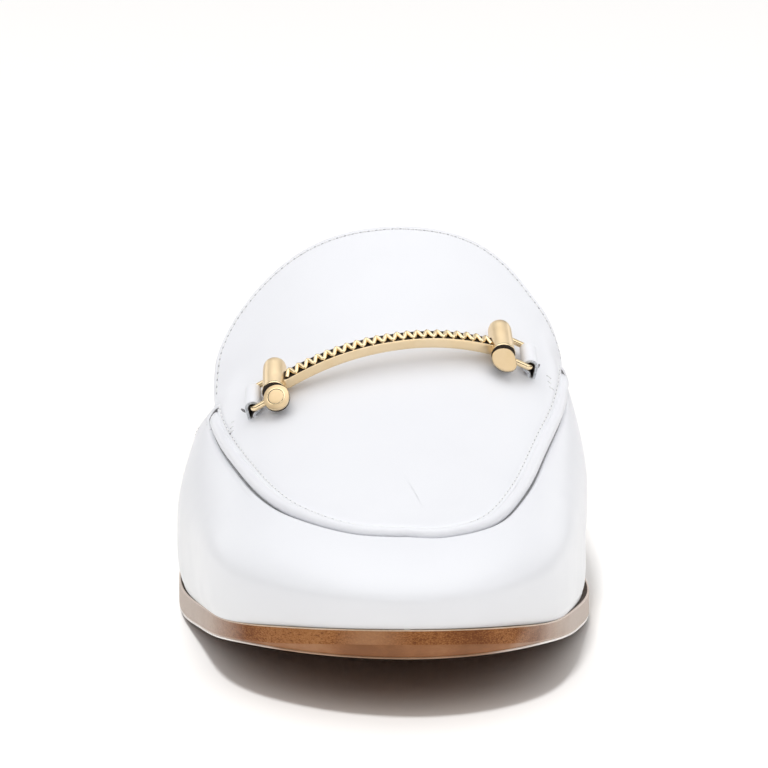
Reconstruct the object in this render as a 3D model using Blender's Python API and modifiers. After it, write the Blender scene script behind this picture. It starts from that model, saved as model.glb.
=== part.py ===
"""Backless bit loafer for the right foot: outsole, low stacked heel, footbed, lasted upper with
an apron that runs up into the tongue, rolled piping round the apron and a metal bit on two tabs.

Shaping frame, in millimetres: x to the medial side, y back from the toe tip, z up from the
floor. The finished pieces are moved so that the origin lies on the floor under the middle of
the shoe, with the toe toward -Y, the heel toward +Y and the medial side toward +X.
"""

import math

import bpy
import numpy as np
from mathutils import Matrix, Vector

MM = 0.001
GAP = 0.3  # clearance between neighbouring pieces

# ---------------------------------------------------------------- driving sizes, mm
SOLE_LENGTH = 256.0
EDGE_EASE = 13.0  # smoothing of the sole's plan, in steps of the 2400 round it
BEVEL_RUN = 0.65  # the sole's lower edge goes in this much for each unit of its drop

WALL = 1.9  # upper: outer leather, reinforcement and lining
SHOULDER_POWER = 2.3
TONGUE_EASE = 14.0  # smoothing of the tongue's edge, in steps of the 400 along it
TONGUE_RELEASE = 11.0  # length over which the tongue's edges leave the side walls
FEATHER_POWER = 0.72  # how quickly the wall swells above the feather line
FOOTBED = 3.2
HEEL_LIFT = 4.0
HEEL_BREAST = 190.0
HEEL_INSET = 1.0

PIPING_RADIUS = 1.2
GROOVE_DEPTH = 1.3
SEAM_SWELL = 0.35  # the apron rises this much just inside its piping

# Sole plan: how far back, and the x of the lateral and medial edges.
OUTLINE = (
    # y, lateral, medial
    (1.0, -3.2, 11.9),
    (3.5, -10.0, 17.6),
    (7.7, -16.5, 23.1),
    (13.0, -22.5, 28.0),
    (19.3, -27.8, 32.1),
    (28.0, -32.3, 35.5),
    (40.0, -35.4, 38.2),
    (55.0, -37.9, 40.3),
    (70.0, -40.6, 42.1),
    (82.0, -42.4, 42.7),
    (94.0, -43.0, 41.5),
    (110.0, -41.5, 37.4),
    (130.0, -37.9, 31.2),
    (151.0, -34.4, 27.6),
    (172.0, -32.0, 26.8),
    (194.0, -30.8, 27.8),
    (214.0, -30.2, 28.8),
    (231.0, -27.4, 27.0),
    (244.0, -20.6, 21.0),
    (252.5, -10.8, 11.4),
)
TOE_END = (4.6, -0.2)
HEEL_END = (0.3, SOLE_LENGTH + 0.3)

# Side view of the sole: underside, the bevel of its lower edge, and its top face.
SOLE_PROFILE = (
    # y, underside, bevel drop, top
    (0.0, 15.0, 3.2, 21.4),
    (6.0, 14.3, 2.3, 20.0),
    (12.0, 13.6, 1.4, 18.6),
    (18.0, 12.8, 0.9, 17.2),
    (27.0, 11.1, 0.7, 15.4),
    (40.0, 8.3, 0.7, 13.2),
    (58.0, 4.5, 0.7, 9.6),
    (72.0, 1.8, 0.7, 7.2),
    (82.0, 0.4, 0.7, 6.1),
    (90.0, 0.0, 0.7, 5.8),
    (112.0, 0.0, 0.7, 5.7),
    (130.0, 2.4, 0.7, 7.8),
    (151.0, 7.4, 0.7, 12.4),
    (172.0, 11.6, 0.7, 16.5),
    (192.0, 13.4, 0.7, 18.3),
    (215.0, 13.9, 0.7, 18.8),
    (240.0, 14.3, 0.7, 19.2),
    (256.0, 14.6, 0.7, 19.5),
)

# Lasted wall of the upper along the sole's edge, lateral and medial: how far the feather line
# lies inside the sole's edge, how far the wall bulges out from it and how high that bulge is,
# and how wide the shoulder is that turns the wall into the top.
WALL_TABLE = (
    # y, ledge l, ledge m, bulge out l, m, bulge up l, m, shoulder l, m
    (0.0, 0.5, 0.5, 1.0, 1.0, 5.0, 5.0, 16.0, 16.0),
    (20.0, 0.8, 1.2, 1.4, 1.5, 8.0, 9.0, 18.0, 16.0),
    (45.0, 1.1, 1.9, 1.8, 2.0, 12.0, 14.0, 19.0, 14.0),
    (75.0, 1.6, 2.6, 2.0, 2.0, 12.0, 18.0, 19.0, 11.5),
    (95.0, 1.9, 2.8, 2.0, 3.5, 12.0, 21.0, 18.0, 10.0),
    (110.0, 1.9, 2.5, 1.6, 5.0, 11.0, 21.0, 18.0, 9.0),
    (125.0, 1.6, 2.0, 1.4, 5.0, 9.0, 16.0, 17.0, 10.0),
    (150.0, 1.8, 1.8, 0.8, 2.0, 6.0, 6.0, 16.0, 12.0),
)

# Ridge of the last, and how much the apron's plane falls 40 mm to either side of it.
RIDGE_TABLE = (
    # y, ridge x, ridge z, crown
    (0.0, 5.0, 31.5, 1.0),
    (12.0, 4.6, 34.0, 2.2),
    (25.0, 4.2, 36.8, 4.2),
    (50.0, 3.6, 41.8, 7.8),
    (75.0, 3.2, 48.4, 11.0),
    (100.0, 3.0, 58.2, 14.0),
    (127.0, 2.6, 70.5, 15.0),
    (150.0, 2.6, 81.5, 16.0),
)

# Apron seam: distance in from the bulge line, by the place along the sole's edge.
SEAM_TABLE = (
    # y, lateral, medial
    (0.0, 20.6, 20.6),
    (8.0, 18.0, 16.8),
    (20.0, 16.4, 13.4),
    (35.0, 14.2, 11.9),
    (50.0, 11.8, 10.3),
    (70.0, 9.8, 8.3),
    (85.0, 8.5, 6.3),
    (97.0, 7.3, 4.4),
    (108.0, 6.5, 2.6),
)
JUNCTION_Y = (97.0, 107.0)  # where the seam ends, lateral and medial

# Tongue edge in plan, from the lateral end of the seam round the top to the medial end.
TONGUE_EDGE = (
    # x, y
    (-36.3, 104.5),
    (-34.9, 111.6),
    (-31.9, 117.3),
    (-27.4, 122.2),
    (-20.8, 126.6),
    (-11.0, 129.2),
    (2.4, 129.8),
    (14.4, 129.9),
    (23.7, 127.6),
    (29.4, 122.8),
    (34.0, 116.5),
    (38.8, 111.3),
)

# Side topline of the vamp behind the seam's ends, as a share of the seam end's height.
TOPLINE_TABLE = (
    # share of the way back, share of the height
    (0.0, 1.0),
    (0.2, 0.80),
    (0.4, 0.59),
    (0.6, 0.39),
    (0.8, 0.22),
    (1.0, 0.10),
)
VAMP_END_Y = 147.0

# Metal bit and its leather tabs, lateral and medial end.
BIT_END_PLACE = ((-21.7, 84.0), (23.6, 94.1))  # middle of each T-shaped end, x and y
BIT_END_LENGTH = 14.0
BIT_END_RADIUS = 2.15
BIT_CAP_RADIUS = 2.5
BIT_END_TILT = 18.0  # degrees up toward the heel
BIT_BAR_RADIUS = 1.75
BIT_BAR_RISE = 4.9  # middle of the bar above the line between its ends
BAR_SLIDE = 0.6  # the bar meets the lateral end this far back of its middle, the medial one as far forward
RING_WIRE_RADIUS = 0.65
RING_LENGTH = 8.0
RING_SHIFT = (-2.2, -0.8)  # ring and tab sit this far along the end, toward the toe
RING_REACH = (5.0, 6.2)  # from the middle of the T-shaped end out to the ring's outer bar
TAB_WIDTH = 6.6
TAB_LEATHER = 0.8
TAB_TAIL = (2.0, 2.0)


# ---------------------------------------------------------------- curves
def cubic(knots, values):
    """Natural cubic through the knots, held straight beyond the ends. Values may be rows."""
    x = np.asarray(knots, float)
    f = np.asarray(values, float)
    h = np.diff(x)
    n = len(x)
    system = np.eye(n)
    right = np.zeros(f.shape)
    slope = (np.diff(f, axis=0).T / h).T
    for i in range(1, n - 1):
        system[i, i - 1 : i + 2] = h[i - 1], 2 * (h[i - 1] + h[i]), h[i]
        right[i] = 6 * (slope[i] - slope[i - 1])
    bend = np.linalg.solve(system, right)

    def value(at):
        at = np.asarray(at, float)
        i = np.clip(np.searchsorted(x, at) - 1, 0, n - 2)
        inside = np.clip(at, x[0], x[-1])
        extra = at - inside
        wide = h[i]
        a = (x[i + 1] - inside) / wide
        b = 1 - a
        if f.ndim > 1:
            a, b, wide, extra = a[..., None], b[..., None], wide[..., None], extra[..., None]
        curve = a * f[i] + b * f[i + 1] + ((a**3 - a) * bend[i] + (b**3 - b) * bend[i + 1]) * wide**2 / 6
        tilt = (f[i + 1] - f[i]) / wide + (
            (3 * b**2 - 1) * bend[i + 1] - (3 * a**2 - 1) * bend[i]
        ) * wide / 6
        return curve + tilt * extra

    return value


def columns(table, *which):
    rows = np.array(table, float)
    return [cubic(rows[:, 0], rows[:, k]) for k in which]


def loop_curve(points, count):
    """Closed smooth curve through the points, as count points evenly spaced by knot length."""
    p = np.asarray(points, float)
    lap = 3  # neighbours repeated at each end, so that the curve closes smoothly
    ring = np.vstack([p[-lap:], p, p[: lap + 1]])
    knot = np.concatenate([[0], np.cumsum(np.linalg.norm(np.diff(ring, axis=0), axis=1))])
    first, last = knot[lap], knot[lap + len(p)]
    return cubic(knot, ring)(np.linspace(first, last, count, endpoint=False)), (knot[lap:-lap] - first)


def along(line):
    return np.concatenate([[0], np.cumsum(np.linalg.norm(np.diff(line, axis=0), axis=1))])


# ---------------------------------------------------------------- sole
def sole_edge():
    """Sole plan, from the toe tip round the lateral side, the heel and the medial side."""
    rows = np.array(OUTLINE)
    lateral, medial = rows[:, [1, 0]], rows[:, [2, 0]]
    points = np.vstack([[TOE_END], lateral, [HEEL_END], medial[::-1]])
    line, knots = loop_curve(points, 2400)
    reach = np.arange(-36, 37)
    weight = np.exp(-0.5 * (reach / EDGE_EASE) ** 2)
    weight /= weight.sum()
    line = sum(w * np.roll(line, k, axis=0) for w, k in zip(weight, reach))
    step = (np.roll(line, -1, axis=0) - np.roll(line, 1, axis=0))
    step /= np.linalg.norm(step, axis=1)[:, None]
    # The loop runs tip, lateral side, heel, medial side, so its outer side is on the right.
    normal = np.column_stack([-step[:, 1], step[:, 0]])
    return line, normal, int(np.argmax(line[:, 1]))


EDGE, EDGE_OUT, HEEL_INDEX = sole_edge()
TOE_INDEX = 0
EDGE_SIDE = np.where(np.arange(len(EDGE)) <= HEEL_INDEX, -1, 1)
underside_curve, bevel_drop, sole_top = columns(SOLE_PROFILE, 1, 2, 3)


def underside(y):
    """Bottom face of the sole, flat on the floor under the ball of the foot."""
    return np.maximum(underside_curve(y), 0.0)


def pick(side, lateral, medial):
    return np.where(side < 0, lateral, medial)


def wall_values(y, side):
    """Ledge, bulge out, bulge up and shoulder width at places along the sole's edge."""
    pairs = zip(columns(WALL_TABLE, 1, 3, 5, 7), columns(WALL_TABLE, 2, 4, 6, 8))
    return [pick(side, lateral(y), medial(y)) for lateral, medial in pairs]


LEDGE, BULGE_OUT, BULGE_UP, SHOULDER = wall_values(EDGE[:, 1], EDGE_SIDE)
FEATHER = EDGE - EDGE_OUT * LEDGE[:, None]
FEATHER_Z = sole_top(EDGE[:, 1]) + GAP
BULGE = FEATHER + EDGE_OUT * BULGE_OUT[:, None]
BULGE_Z = FEATHER_Z + BULGE_UP
ridge_x, ridge_z, crown = columns(RIDGE_TABLE, 1, 2, 3)


# ---------------------------------------------------------------- upper
def plane_z(x, y):
    """The broad top of the last before its shoulders are rounded."""
    return ridge_z(y) - crown(y) * ((x - ridge_x(y)) / 40.0) ** 2


def shoulder(share):
    share = np.clip(share, 0, 1)
    return (1 - (1 - share) ** SHOULDER_POWER) ** (1 / SHOULDER_POWER)


def near_bulge(x, y):
    """Distance in from the bulge line, with the line's height and shoulder width there."""
    shape = np.shape(x)
    points = np.column_stack([np.ravel(x), np.ravel(y)])
    keep = np.flatnonzero(EDGE[:, 1] < 175.0)
    line = BULGE[keep]
    distance = np.empty(len(points))
    level = np.empty(len(points))
    wide = np.empty(len(points))
    for start in range(0, len(points), 2000):
        block = points[start : start + 2000]
        gap = ((block[:, None, :] - line[None, :, :]) ** 2).sum(axis=2)
        best = gap.argmin(axis=1)
        index = keep[best]
        span = BULGE[(index + 1) % len(BULGE)] - BULGE[index - 1]
        offset = ((block - BULGE[index]) * span).sum(axis=1) / (span**2).sum(axis=1)
        foot = BULGE[index] + span * offset[:, None]
        out = np.column_stack([-span[:, 1], span[:, 0]])
        out /= np.linalg.norm(out, axis=1)[:, None]
        distance[start : start + 2000] = ((foot - block) * out).sum(axis=1)
        near, far = index - 1, (index + 1) % len(BULGE)
        level[start : start + 2000] = BULGE_Z[index] + (BULGE_Z[far] - BULGE_Z[near]) * offset
        wide[start : start + 2000] = SHOULDER[index] + (SHOULDER[far] - SHOULDER[near]) * offset
    return distance.reshape(shape), level.reshape(shape), wide.reshape(shape)


def leave_wall(x, y):
    """0 over the apron, rising to 1 where the free tongue has left the side walls."""
    lateral, medial = JUNCTION_Y
    seam_end = lateral + (medial - lateral) * np.clip((x + 36.0) / 74.0, 0, 1)
    share = np.clip((y - seam_end) / TONGUE_RELEASE, 0, 1)
    return share * share * (3 - 2 * share)


def top_z(x, y):
    """Outer surface of the apron and tongue."""
    distance, level, wide = near_bulge(x, y)
    rounding = shoulder(distance / wide)
    rounding = rounding + (1 - rounding) * leave_wall(x, y)
    return level + (plane_z(x, y) - level) * rounding


def station(side, y):
    """Index along the sole's edge of a place y back on one side."""
    if y < 0.5 or y > SOLE_LENGTH - 0.5:
        return TOE_INDEX if y < 0.5 else HEEL_INDEX
    index = np.arange(HEEL_INDEX + 1)
    if side > 0:
        index = np.concatenate([[0], np.arange(len(EDGE) - 1, HEEL_INDEX - 1, -1)])
    return int(index[np.argmin(np.abs(EDGE[index, 1] - y))])


def section(index, inset, count):
    """Outer line of the wall at one place: feather, out to the bulge, then in by inset."""
    rise = np.linspace(0, 1, 13)
    low_xy = FEATHER[index] + EDGE_OUT[index] * (BULGE_OUT[index] * np.sin(rise * math.pi / 2) ** FEATHER_POWER)[:, None]
    low_z = FEATHER_Z[index] + BULGE_UP[index] * rise
    wide = SHOULDER[index]
    turn = np.linspace(0, math.acos((1 - min(inset / wide, 1.0)) ** (SHOULDER_POWER / 2)), 25)[1:]
    inward = wide * (1 - np.cos(turn) ** (2 / SHOULDER_POWER))
    if inset > wide:
        inward = np.concatenate([inward, np.linspace(wide, inset, 13)[1:]])
    high_xy = BULGE[index] - EDGE_OUT[index] * inward[:, None]
    level = BULGE_Z[index]
    high_z = level + (plane_z(high_xy[:, 0], high_xy[:, 1]) - level) * shoulder(inward / wide)
    line = np.vstack([np.column_stack([low_xy, low_z]), np.column_stack([high_xy, high_z])])
    return line


def resample(line, marks):
    """Points along a line at the given distances from its start."""
    reach = along(line)
    return np.column_stack([np.interp(marks, reach, line[:, k]) for k in range(3)])


WALL_ROWS = 7
SEAM_SHOULDERS = (3.2, 1.9, 0.9)  # rows beside the seam that carry the piping's groove
APRON_STEPS = (0.9, 1.9, 4.0)
APRON_ROWS = 5
SEAM_STATIONS = 18  # from the toe to each end of the seam
REAR_STATIONS = 8
TONGUE_STATIONS = 9
SIDE_NAMES = {-1: 0, 1: 1}


def groove(inset):
    """Height of the surface beside the seam, against the plain last, by distance inward."""
    marks = (-4.6, -3.2, -1.9, -0.9, 0.9, 1.9, 4.0, 9.0)
    heights = (0.0, -0.25, -0.45, -GROOVE_DEPTH, -GROOVE_DEPTH, SEAM_SWELL, 0.25, 0.0)
    return np.interp(inset, marks, heights)


def surface_normal(x, y):
    step = 0.2
    slope_x = (top_z(x + step, y) - top_z(x - step, y)) / (2 * step)
    slope_y = (top_z(x, y + step) - top_z(x, y - step)) / (2 * step)
    normal = np.stack([-slope_x, -slope_y, np.ones_like(slope_x)], axis=-1)
    return normal / np.linalg.norm(normal, axis=-1)[..., None]


def wall_column(index, inset=None, height=None):
    """Rows of the side wall at one place, up to the seam or up to a topline height."""
    if inset is None:
        line = section(index, SHOULDER[index], 0)
        top = int(np.argmax(line[:, 2] - FEATHER_Z[index] > height))
        low, high = line[top - 1], line[top]
        share = (height - (low[2] - FEATHER_Z[index])) / (high[2] - low[2])
        line = np.vstack([line[:top], low + (high - low) * share])
    else:
        line = section(index, inset, 0)
    length = along(line)[-1]
    shrink = min(1.0, length / 20.0)
    tail = length - np.array(SEAM_SHOULDERS) * shrink
    marks = np.concatenate([np.linspace(0, tail[0], WALL_ROWS + 1), tail[1:], [length]])
    return resample(line, marks)


seam_lateral, seam_medial = columns(SEAM_TABLE, 1, 2)
topline_share = columns(TOPLINE_TABLE, 1)[0]


def seam_inset(index, side):
    y = EDGE[index, 1]
    return float(seam_lateral(y) if side < 0 else seam_medial(y))


def side_indices(side):
    """Places along the edge from the toe to the seam's end, then on to the vamp's end."""
    order = np.arange(0, HEEL_INDEX) if side < 0 else np.concatenate([[0], np.arange(len(EDGE) - 1, HEEL_INDEX, -1)])
    reach = along(EDGE[order])
    seam_end = reach[np.argmin(np.abs(EDGE[order, 1] - JUNCTION_Y[SIDE_NAMES[side]]))]
    vamp_end = reach[np.argmin(np.abs(EDGE[order, 1] - VAMP_END_Y))]
    front = np.linspace(0, seam_end, SEAM_STATIONS + 1)
    rear = np.linspace(seam_end, vamp_end, REAR_STATIONS + 1)[1:]
    return [int(order[np.argmin(np.abs(reach - mark))]) for mark in front], [
        int(order[np.argmin(np.abs(reach - mark))]) for mark in rear
    ]


def upper_grid():
    """Vertices and faces of the upper's outer surface, with the points of the apron seam."""
    vertices, faces, seam = [], [], {}

    def add(points):
        vertices.extend(map(tuple, points))
        return list(range(len(vertices) - len(points), len(vertices)))

    wall = {}
    for side in (-1, 1):
        front, rear = side_indices(side)
        for k, index in enumerate(front):
            if side > 0 and k == 0:
                wall[side, 0] = wall[-1, 0]
                continue
            rows = wall_column(index, inset=seam_inset(index, side))
            depth = 0.0 if k == SEAM_STATIONS else 1.0
            flat = rows.copy()
            normal = surface_normal(rows[-4:, 0], rows[-4:, 1])
            marks = -np.array(SEAM_SHOULDERS + (0.0,))
            rows[-4:] += normal * (groove(marks) * depth)[:, None]
            wall[side, k] = add(rows)
            seam[side * k] = (flat[-1], normal[-1], EDGE_OUT[index])
        height = flat[-1][2] - FEATHER_Z[front[-1]]
        first, last = EDGE[front[-1], 1], EDGE[rear[-1], 1]
        for k, index in enumerate(rear):
            share = (EDGE[index, 1] - first) / (last - first)
            rows = wall_column(index, height=height * float(topline_share(share)))
            wall[side, SEAM_STATIONS + 1 + k] = add(rows)
    for side in (-1, 1):
        for k in range(SEAM_STATIONS + REAR_STATIONS):
            here, there = wall[side, k], wall[side, k + 1]
            for a, b, c, d in zip(here, here[1:], there[1:], there):
                faces.append((d, c, b, a) if side > 0 else (a, b, c, d))

    # Rim of the apron and tongue on each side, from the toe to the tongue's top.
    edge = np.array(TONGUE_EDGE, float)
    ends = [seam[-SEAM_STATIONS][0][:2], seam[SEAM_STATIONS][0][:2]]
    knots = np.vstack([ends[0], edge, ends[1]])
    knot = along(knots)
    tongue = cubic(knot, knots)(np.linspace(0, knot[-1], 401))
    reach = np.arange(-45, 46)
    weight = np.exp(-0.5 * (reach / TONGUE_EASE) ** 2)
    turned_start, turned_end = 2 * tongue[0] - tongue[45:0:-1], 2 * tongue[-1] - tongue[-2:-47:-1]
    padded = np.vstack([turned_start, tongue, turned_end])
    tongue = sum(w * padded[45 + k : 45 + k + 401] for w, k in zip(weight / weight.sum(), reach))
    marks = np.linspace(0, along(tongue)[-1], 2 * TONGUE_STATIONS + 3)
    tongue = np.column_stack([np.interp(marks, along(tongue), tongue[:, k]) for k in range(2)])
    rim = {}
    for side in (-1, 1):
        for k in range(SEAM_STATIONS + 1):
            rim[side, k] = (wall[side, k][-1], seam[side * k][0][:2])
        points = tongue if side < 0 else tongue[::-1]
        for m in range(1, TONGUE_STATIONS + 2):
            rim[side, SEAM_STATIONS + m] = (None, points[m])
    last = SEAM_STATIONS + TONGUE_STATIONS + 1

    # Spine of the apron and tongue: one point for each pair of rim points.
    heights = np.array([(rim[-1, k][1][1] + rim[1, k][1][1]) / 2 for k in range(last + 1)])
    back = 44 + 12 * np.log1p(np.exp((heights - 44) / 12))
    limit = heights[-1] - 9
    back = limit - 4 * np.log1p(np.exp((limit - back) / 4))
    back = np.maximum.accumulate(back + np.arange(last + 1) * 0.05)
    spine_xy = np.column_stack([ridge_x(back), back])
    spine = add(np.column_stack([spine_xy, top_z(spine_xy[:, 0], spine_xy[:, 1])]))

    apron = {}
    for side in (-1, 1):
        for k in range(last + 1):
            if side > 0 and k in (0, last):
                apron[side, k] = apron[-1, k]
                continue
            start_index, start = rim[side, k]
            span = spine_xy[k] - start
            reach = np.linalg.norm(span)
            inward = span / reach
            rest = np.linspace(APRON_STEPS[-1], reach, APRON_ROWS + 1)[1:-1]
            marks = np.concatenate([APRON_STEPS, rest])
            if start_index is None:
                marks = np.concatenate([[0.0], marks])
            flat = start + inward * marks[:, None]
            points = np.column_stack([flat, top_z(flat[:, 0], flat[:, 1])])
            if k < SEAM_STATIONS:
                points += surface_normal(flat[:, 0], flat[:, 1]) * groove(marks)[:, None]
            column = add(points) + [spine[k]]
            if start_index is not None:
                column = [start_index] + column
            apron[side, k] = column
        for k in range(last):
            here, there = apron[side, k], apron[side, k + 1]
            for a, b, c, d in zip(here, here[1:], there[1:], there):
                faces.append((d, c, b, a) if side > 0 else (a, b, c, d))
    return vertices, faces, seam


# ---------------------------------------------------------------- BLENDER
def clear_scene():
    for obj in list(bpy.data.objects):
        bpy.data.objects.remove(obj, do_unlink=True)
    for group in list(bpy.data.collections):
        bpy.data.collections.remove(group)


def material(name, color, roughness, metallic=0.0):
    made = bpy.data.materials.new(name)
    made.use_nodes = True
    shader = made.node_tree.nodes["Principled BSDF"]
    shader.inputs["Base Color"].default_value = (*color, 1.0)
    shader.inputs["Roughness"].default_value = roughness
    shader.inputs["Metallic"].default_value = metallic
    made.diffuse_color = (*color, 1.0)
    return made


def finish_object(obj, finish):
    obj.data.materials.append(finish)
    LOAFER.objects.link(obj)
    obj.parent = ROOT
    return obj


def mesh_object(name, vertices, faces, finish, smooth=True):
    mesh = bpy.data.meshes.new(name)
    mesh.from_pydata([tuple(c * MM for c in v) for v in vertices], [], faces)
    mesh.validate()
    if smooth:
        mesh.shade_smooth()
        mesh.set_sharp_from_angle(angle=math.radians(38))
    return finish_object(bpy.data.objects.new(name, mesh), finish)


def tube_object(name, points, radius, finish, sides=2, radii=None):
    curve = bpy.data.curves.new(name, "CURVE")
    curve.dimensions = "3D"
    curve.bevel_depth = radius * MM
    curve.bevel_resolution = sides
    curve.use_fill_caps = True
    spline = curve.splines.new("POLY")
    spline.points.add(len(points) - 1)
    for place, point in zip(spline.points, points):
        place.co = (*(c * MM for c in point), 1.0)
    if radii is not None:
        for place, share in zip(spline.points, radii):
            place.radius = share
    return finish_object(bpy.data.objects.new(name, curve), finish)


def slab(name, ys, levels, finish):
    """Closed solid between level outlines of the sole's plan. Each level is (inset, z), both
    functions of y and side, listed from the bottom up. ys run from front to back."""
    sides = {side: [station(side, y) for y in ys] for side in (-1, 1)}
    vertices, rings = [], []
    for inset, height in levels:
        ring = {}
        for side in (-1, 1):
            ring[side] = []
            for k, index in enumerate(sides[side]):
                if side > 0 and index == sides[-1][k]:
                    ring[side].append(ring[-1][k])
                    continue
                x, y = EDGE[index] - EDGE_OUT[index] * inset(EDGE[index, 1], side)
                vertices.append((x, y, float(height(y))))
                ring[side].append(len(vertices) - 1)
        rings.append(ring)
    faces = []

    def face(*corners):
        kept = list(dict.fromkeys(corners))
        if len(kept) > 2:
            faces.append(tuple(kept))

    for low, high in zip(rings, rings[1:]):
        for k in range(len(ys) - 1):
            face(low[-1][k + 1], low[-1][k], high[-1][k], high[-1][k + 1])
            face(low[1][k], low[1][k + 1], high[1][k + 1], high[1][k])
        face(low[-1][0], low[1][0], high[1][0], high[-1][0])
        face(low[1][-1], low[-1][-1], high[-1][-1], high[1][-1])
    for k in range(len(ys) - 1):
        low, high = rings[0], rings[-1]
        face(low[-1][k], low[-1][k + 1], low[1][k + 1], low[1][k])
        face(high[-1][k + 1], high[-1][k], high[1][k], high[1][k + 1])
    return mesh_object(name, vertices, faces, finish)


def steps_between(first, last, count, extra=()):
    """Places back along the shoe that are evenly spaced round the lateral edge."""
    order = np.arange(HEEL_INDEX + 1)
    reach = along(EDGE[order])
    start = reach[np.argmin(np.abs(EDGE[order, 1] - first))]
    end = reach[np.argmin(np.abs(EDGE[order, 1] - last))]
    ys = [float(np.interp(mark, reach, EDGE[order, 1])) for mark in np.linspace(start, end, count + 1)]
    ys[0], ys[-1] = first, last
    ys = [y for y in ys if all(abs(y - other) > 1.2 for other in extra)]
    return sorted(ys + list(extra))


clear_scene()
LOAFER = bpy.data.collections.new("loafer")
bpy.context.scene.collection.children.link(LOAFER)
ROOT = bpy.data.objects.new("loafer_origin", None)
LOAFER.objects.link(ROOT)

WHITE = material("white_leather", (0.86, 0.87, 0.88), 0.38)
SOLE_EDGE = material("sole_leather", (0.28, 0.13, 0.06), 0.42)
STACK = material("heel_leather", (0.26, 0.12, 0.06), 0.45)
LIFT = material("heel_rubber", (0.03, 0.028, 0.026), 0.7)
SOCK = material("sock_leather", (0.72, 0.60, 0.46), 0.55)
GOLD = material("gold_metal", (0.80, 0.62, 0.38), 0.2, 1.0)

# Outsole: bottom edge, bevel, wall, a small chamfer at the top edge.
outsole = slab(
    "outsole",
    steps_between(0.0, SOLE_LENGTH, 44, extra=(90.0, 112.0)),
    (
        (lambda y, side: float(bevel_drop(y)) * BEVEL_RUN, underside),
        (lambda y, side: 0.0, lambda y: underside(y) + bevel_drop(y)),
        (lambda y, side: 0.0, lambda y: sole_top(y) - 0.4),
        (lambda y, side: 0.4, sole_top),
    ),
    SOLE_EDGE,
)

# Low heel: stacked block under the heel seat and its top lift on the floor.
heel_ys = steps_between(HEEL_BREAST, SOLE_LENGTH, 14)
slab(
    "heel_stack",
    heel_ys,
    (
        (lambda y, side: HEEL_INSET + 0.7, lambda y: HEEL_LIFT + GAP),
        (lambda y, side: HEEL_INSET, lambda y: underside(y) - GAP),
    ),
    STACK,
)
slab(
    "heel_toplift",
    heel_ys,
    (
        (lambda y, side: HEEL_INSET + 1.3, lambda y: 0.0),
        (lambda y, side: HEEL_INSET + 0.7, lambda y: 0.6),
        (lambda y, side: HEEL_INSET + 0.7, lambda y: HEEL_LIFT),
    ),
    LIFT,
)


# Footbed: inside the upper's wall in front, out to the sole's edge behind the vamp.
def footbed_inset(y, side):
    ledge = np.interp(y, [row[0] for row in WALL_TABLE], [row[1 if side < 0 else 2] for row in WALL_TABLE])
    return float(np.interp(y, (VAMP_END_Y + 1.2, VAMP_END_Y + 4.2), (ledge + WALL + 0.6, 1.0)))


slab(
    "insole",
    steps_between(0.0, SOLE_LENGTH, 40, extra=(VAMP_END_Y + 1.2, VAMP_END_Y + 4.2)),
    (
        (footbed_inset, lambda y: sole_top(y) + GAP),
        (footbed_inset, lambda y: sole_top(y) + FOOTBED - 0.7),
        (lambda y, side: footbed_inset(y, side) + 0.7, lambda y: sole_top(y) + FOOTBED),
    ),
    SOCK,
)

# Upper: open outer surface, thickened inward to the wall.
upper_vertices, upper_faces, seam_points = upper_grid()
upper = mesh_object("upper", upper_vertices, upper_faces, WHITE)
thick = upper.modifiers.new("wall", "SOLIDIFY")
thick.thickness = WALL * MM
thick.offset = -1.0

# Piping in the groove along the apron seam, its ends tucked at the seam's ends.
def piping_point(place):
    """Middle of the bead at a place counted in stations from the toe, lateral side below 0."""
    low = int(math.floor(abs(place)))
    low = min(low, SEAM_STATIONS - 1)
    share = abs(place) - low
    sign = -1 if place < 0 else 1
    near, far = seam_points[sign * low if low else 0], seam_points[sign * (low + 1)]
    lift = PIPING_RADIUS + GAP - GROOVE_DEPTH
    start = near[0] + near[1] * lift
    end = far[0] + far[1] * (lift + (GROOVE_DEPTH if low + 1 == SEAM_STATIONS else 0.0))
    return start + (end - start) * share


places = [-(SEAM_STATIONS - 0.3)] + list(range(1 - SEAM_STATIONS, SEAM_STATIONS)) + [SEAM_STATIONS - 0.3]
tube_object("apron_piping", [piping_point(place) for place in places], PIPING_RADIUS, WHITE)

# Metal bit: bar between two T-shaped ends, each with a ring that the leather tab wraps.
def clear_lift(points, radii, up):
    """How far to raise points along up so that balls round them clear the apron by GAP."""
    points = np.asarray(points, float)
    normal = surface_normal(points[:, 0], points[:, 1])
    above = (points[:, 2] - top_z(points[:, 0], points[:, 1])) * normal[:, 2]
    return float(np.max((np.asarray(radii) + GAP - above) / (normal @ up)))


def bit_frame(side):
    """Middle of a T-shaped end with its directions: outward, along the end, and up."""
    x, y = BIT_END_PLACE[SIDE_NAMES[side]]
    normal = surface_normal(np.array([x]), np.array([y]))[0]
    tilt = math.radians(BIT_END_TILT)
    toward = np.array([0.0 if side < 0 else -0.07, math.cos(tilt), math.sin(tilt)])
    toward /= np.linalg.norm(toward)
    across = np.cross(toward, normal)
    across /= np.linalg.norm(across)
    up = np.cross(across, toward)
    middle = np.array([x, y, float(top_z(np.array([x]), np.array([y]))[0])])
    marks = np.linspace(-0.5, 0.5, 9) * BIT_END_LENGTH
    radii = np.where(marks < -5.1, BIT_CAP_RADIUS, BIT_END_RADIUS)
    middle = middle + up * clear_lift(middle + toward * marks[:, None], radii, up)
    return middle, across * side, toward, up


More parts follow.
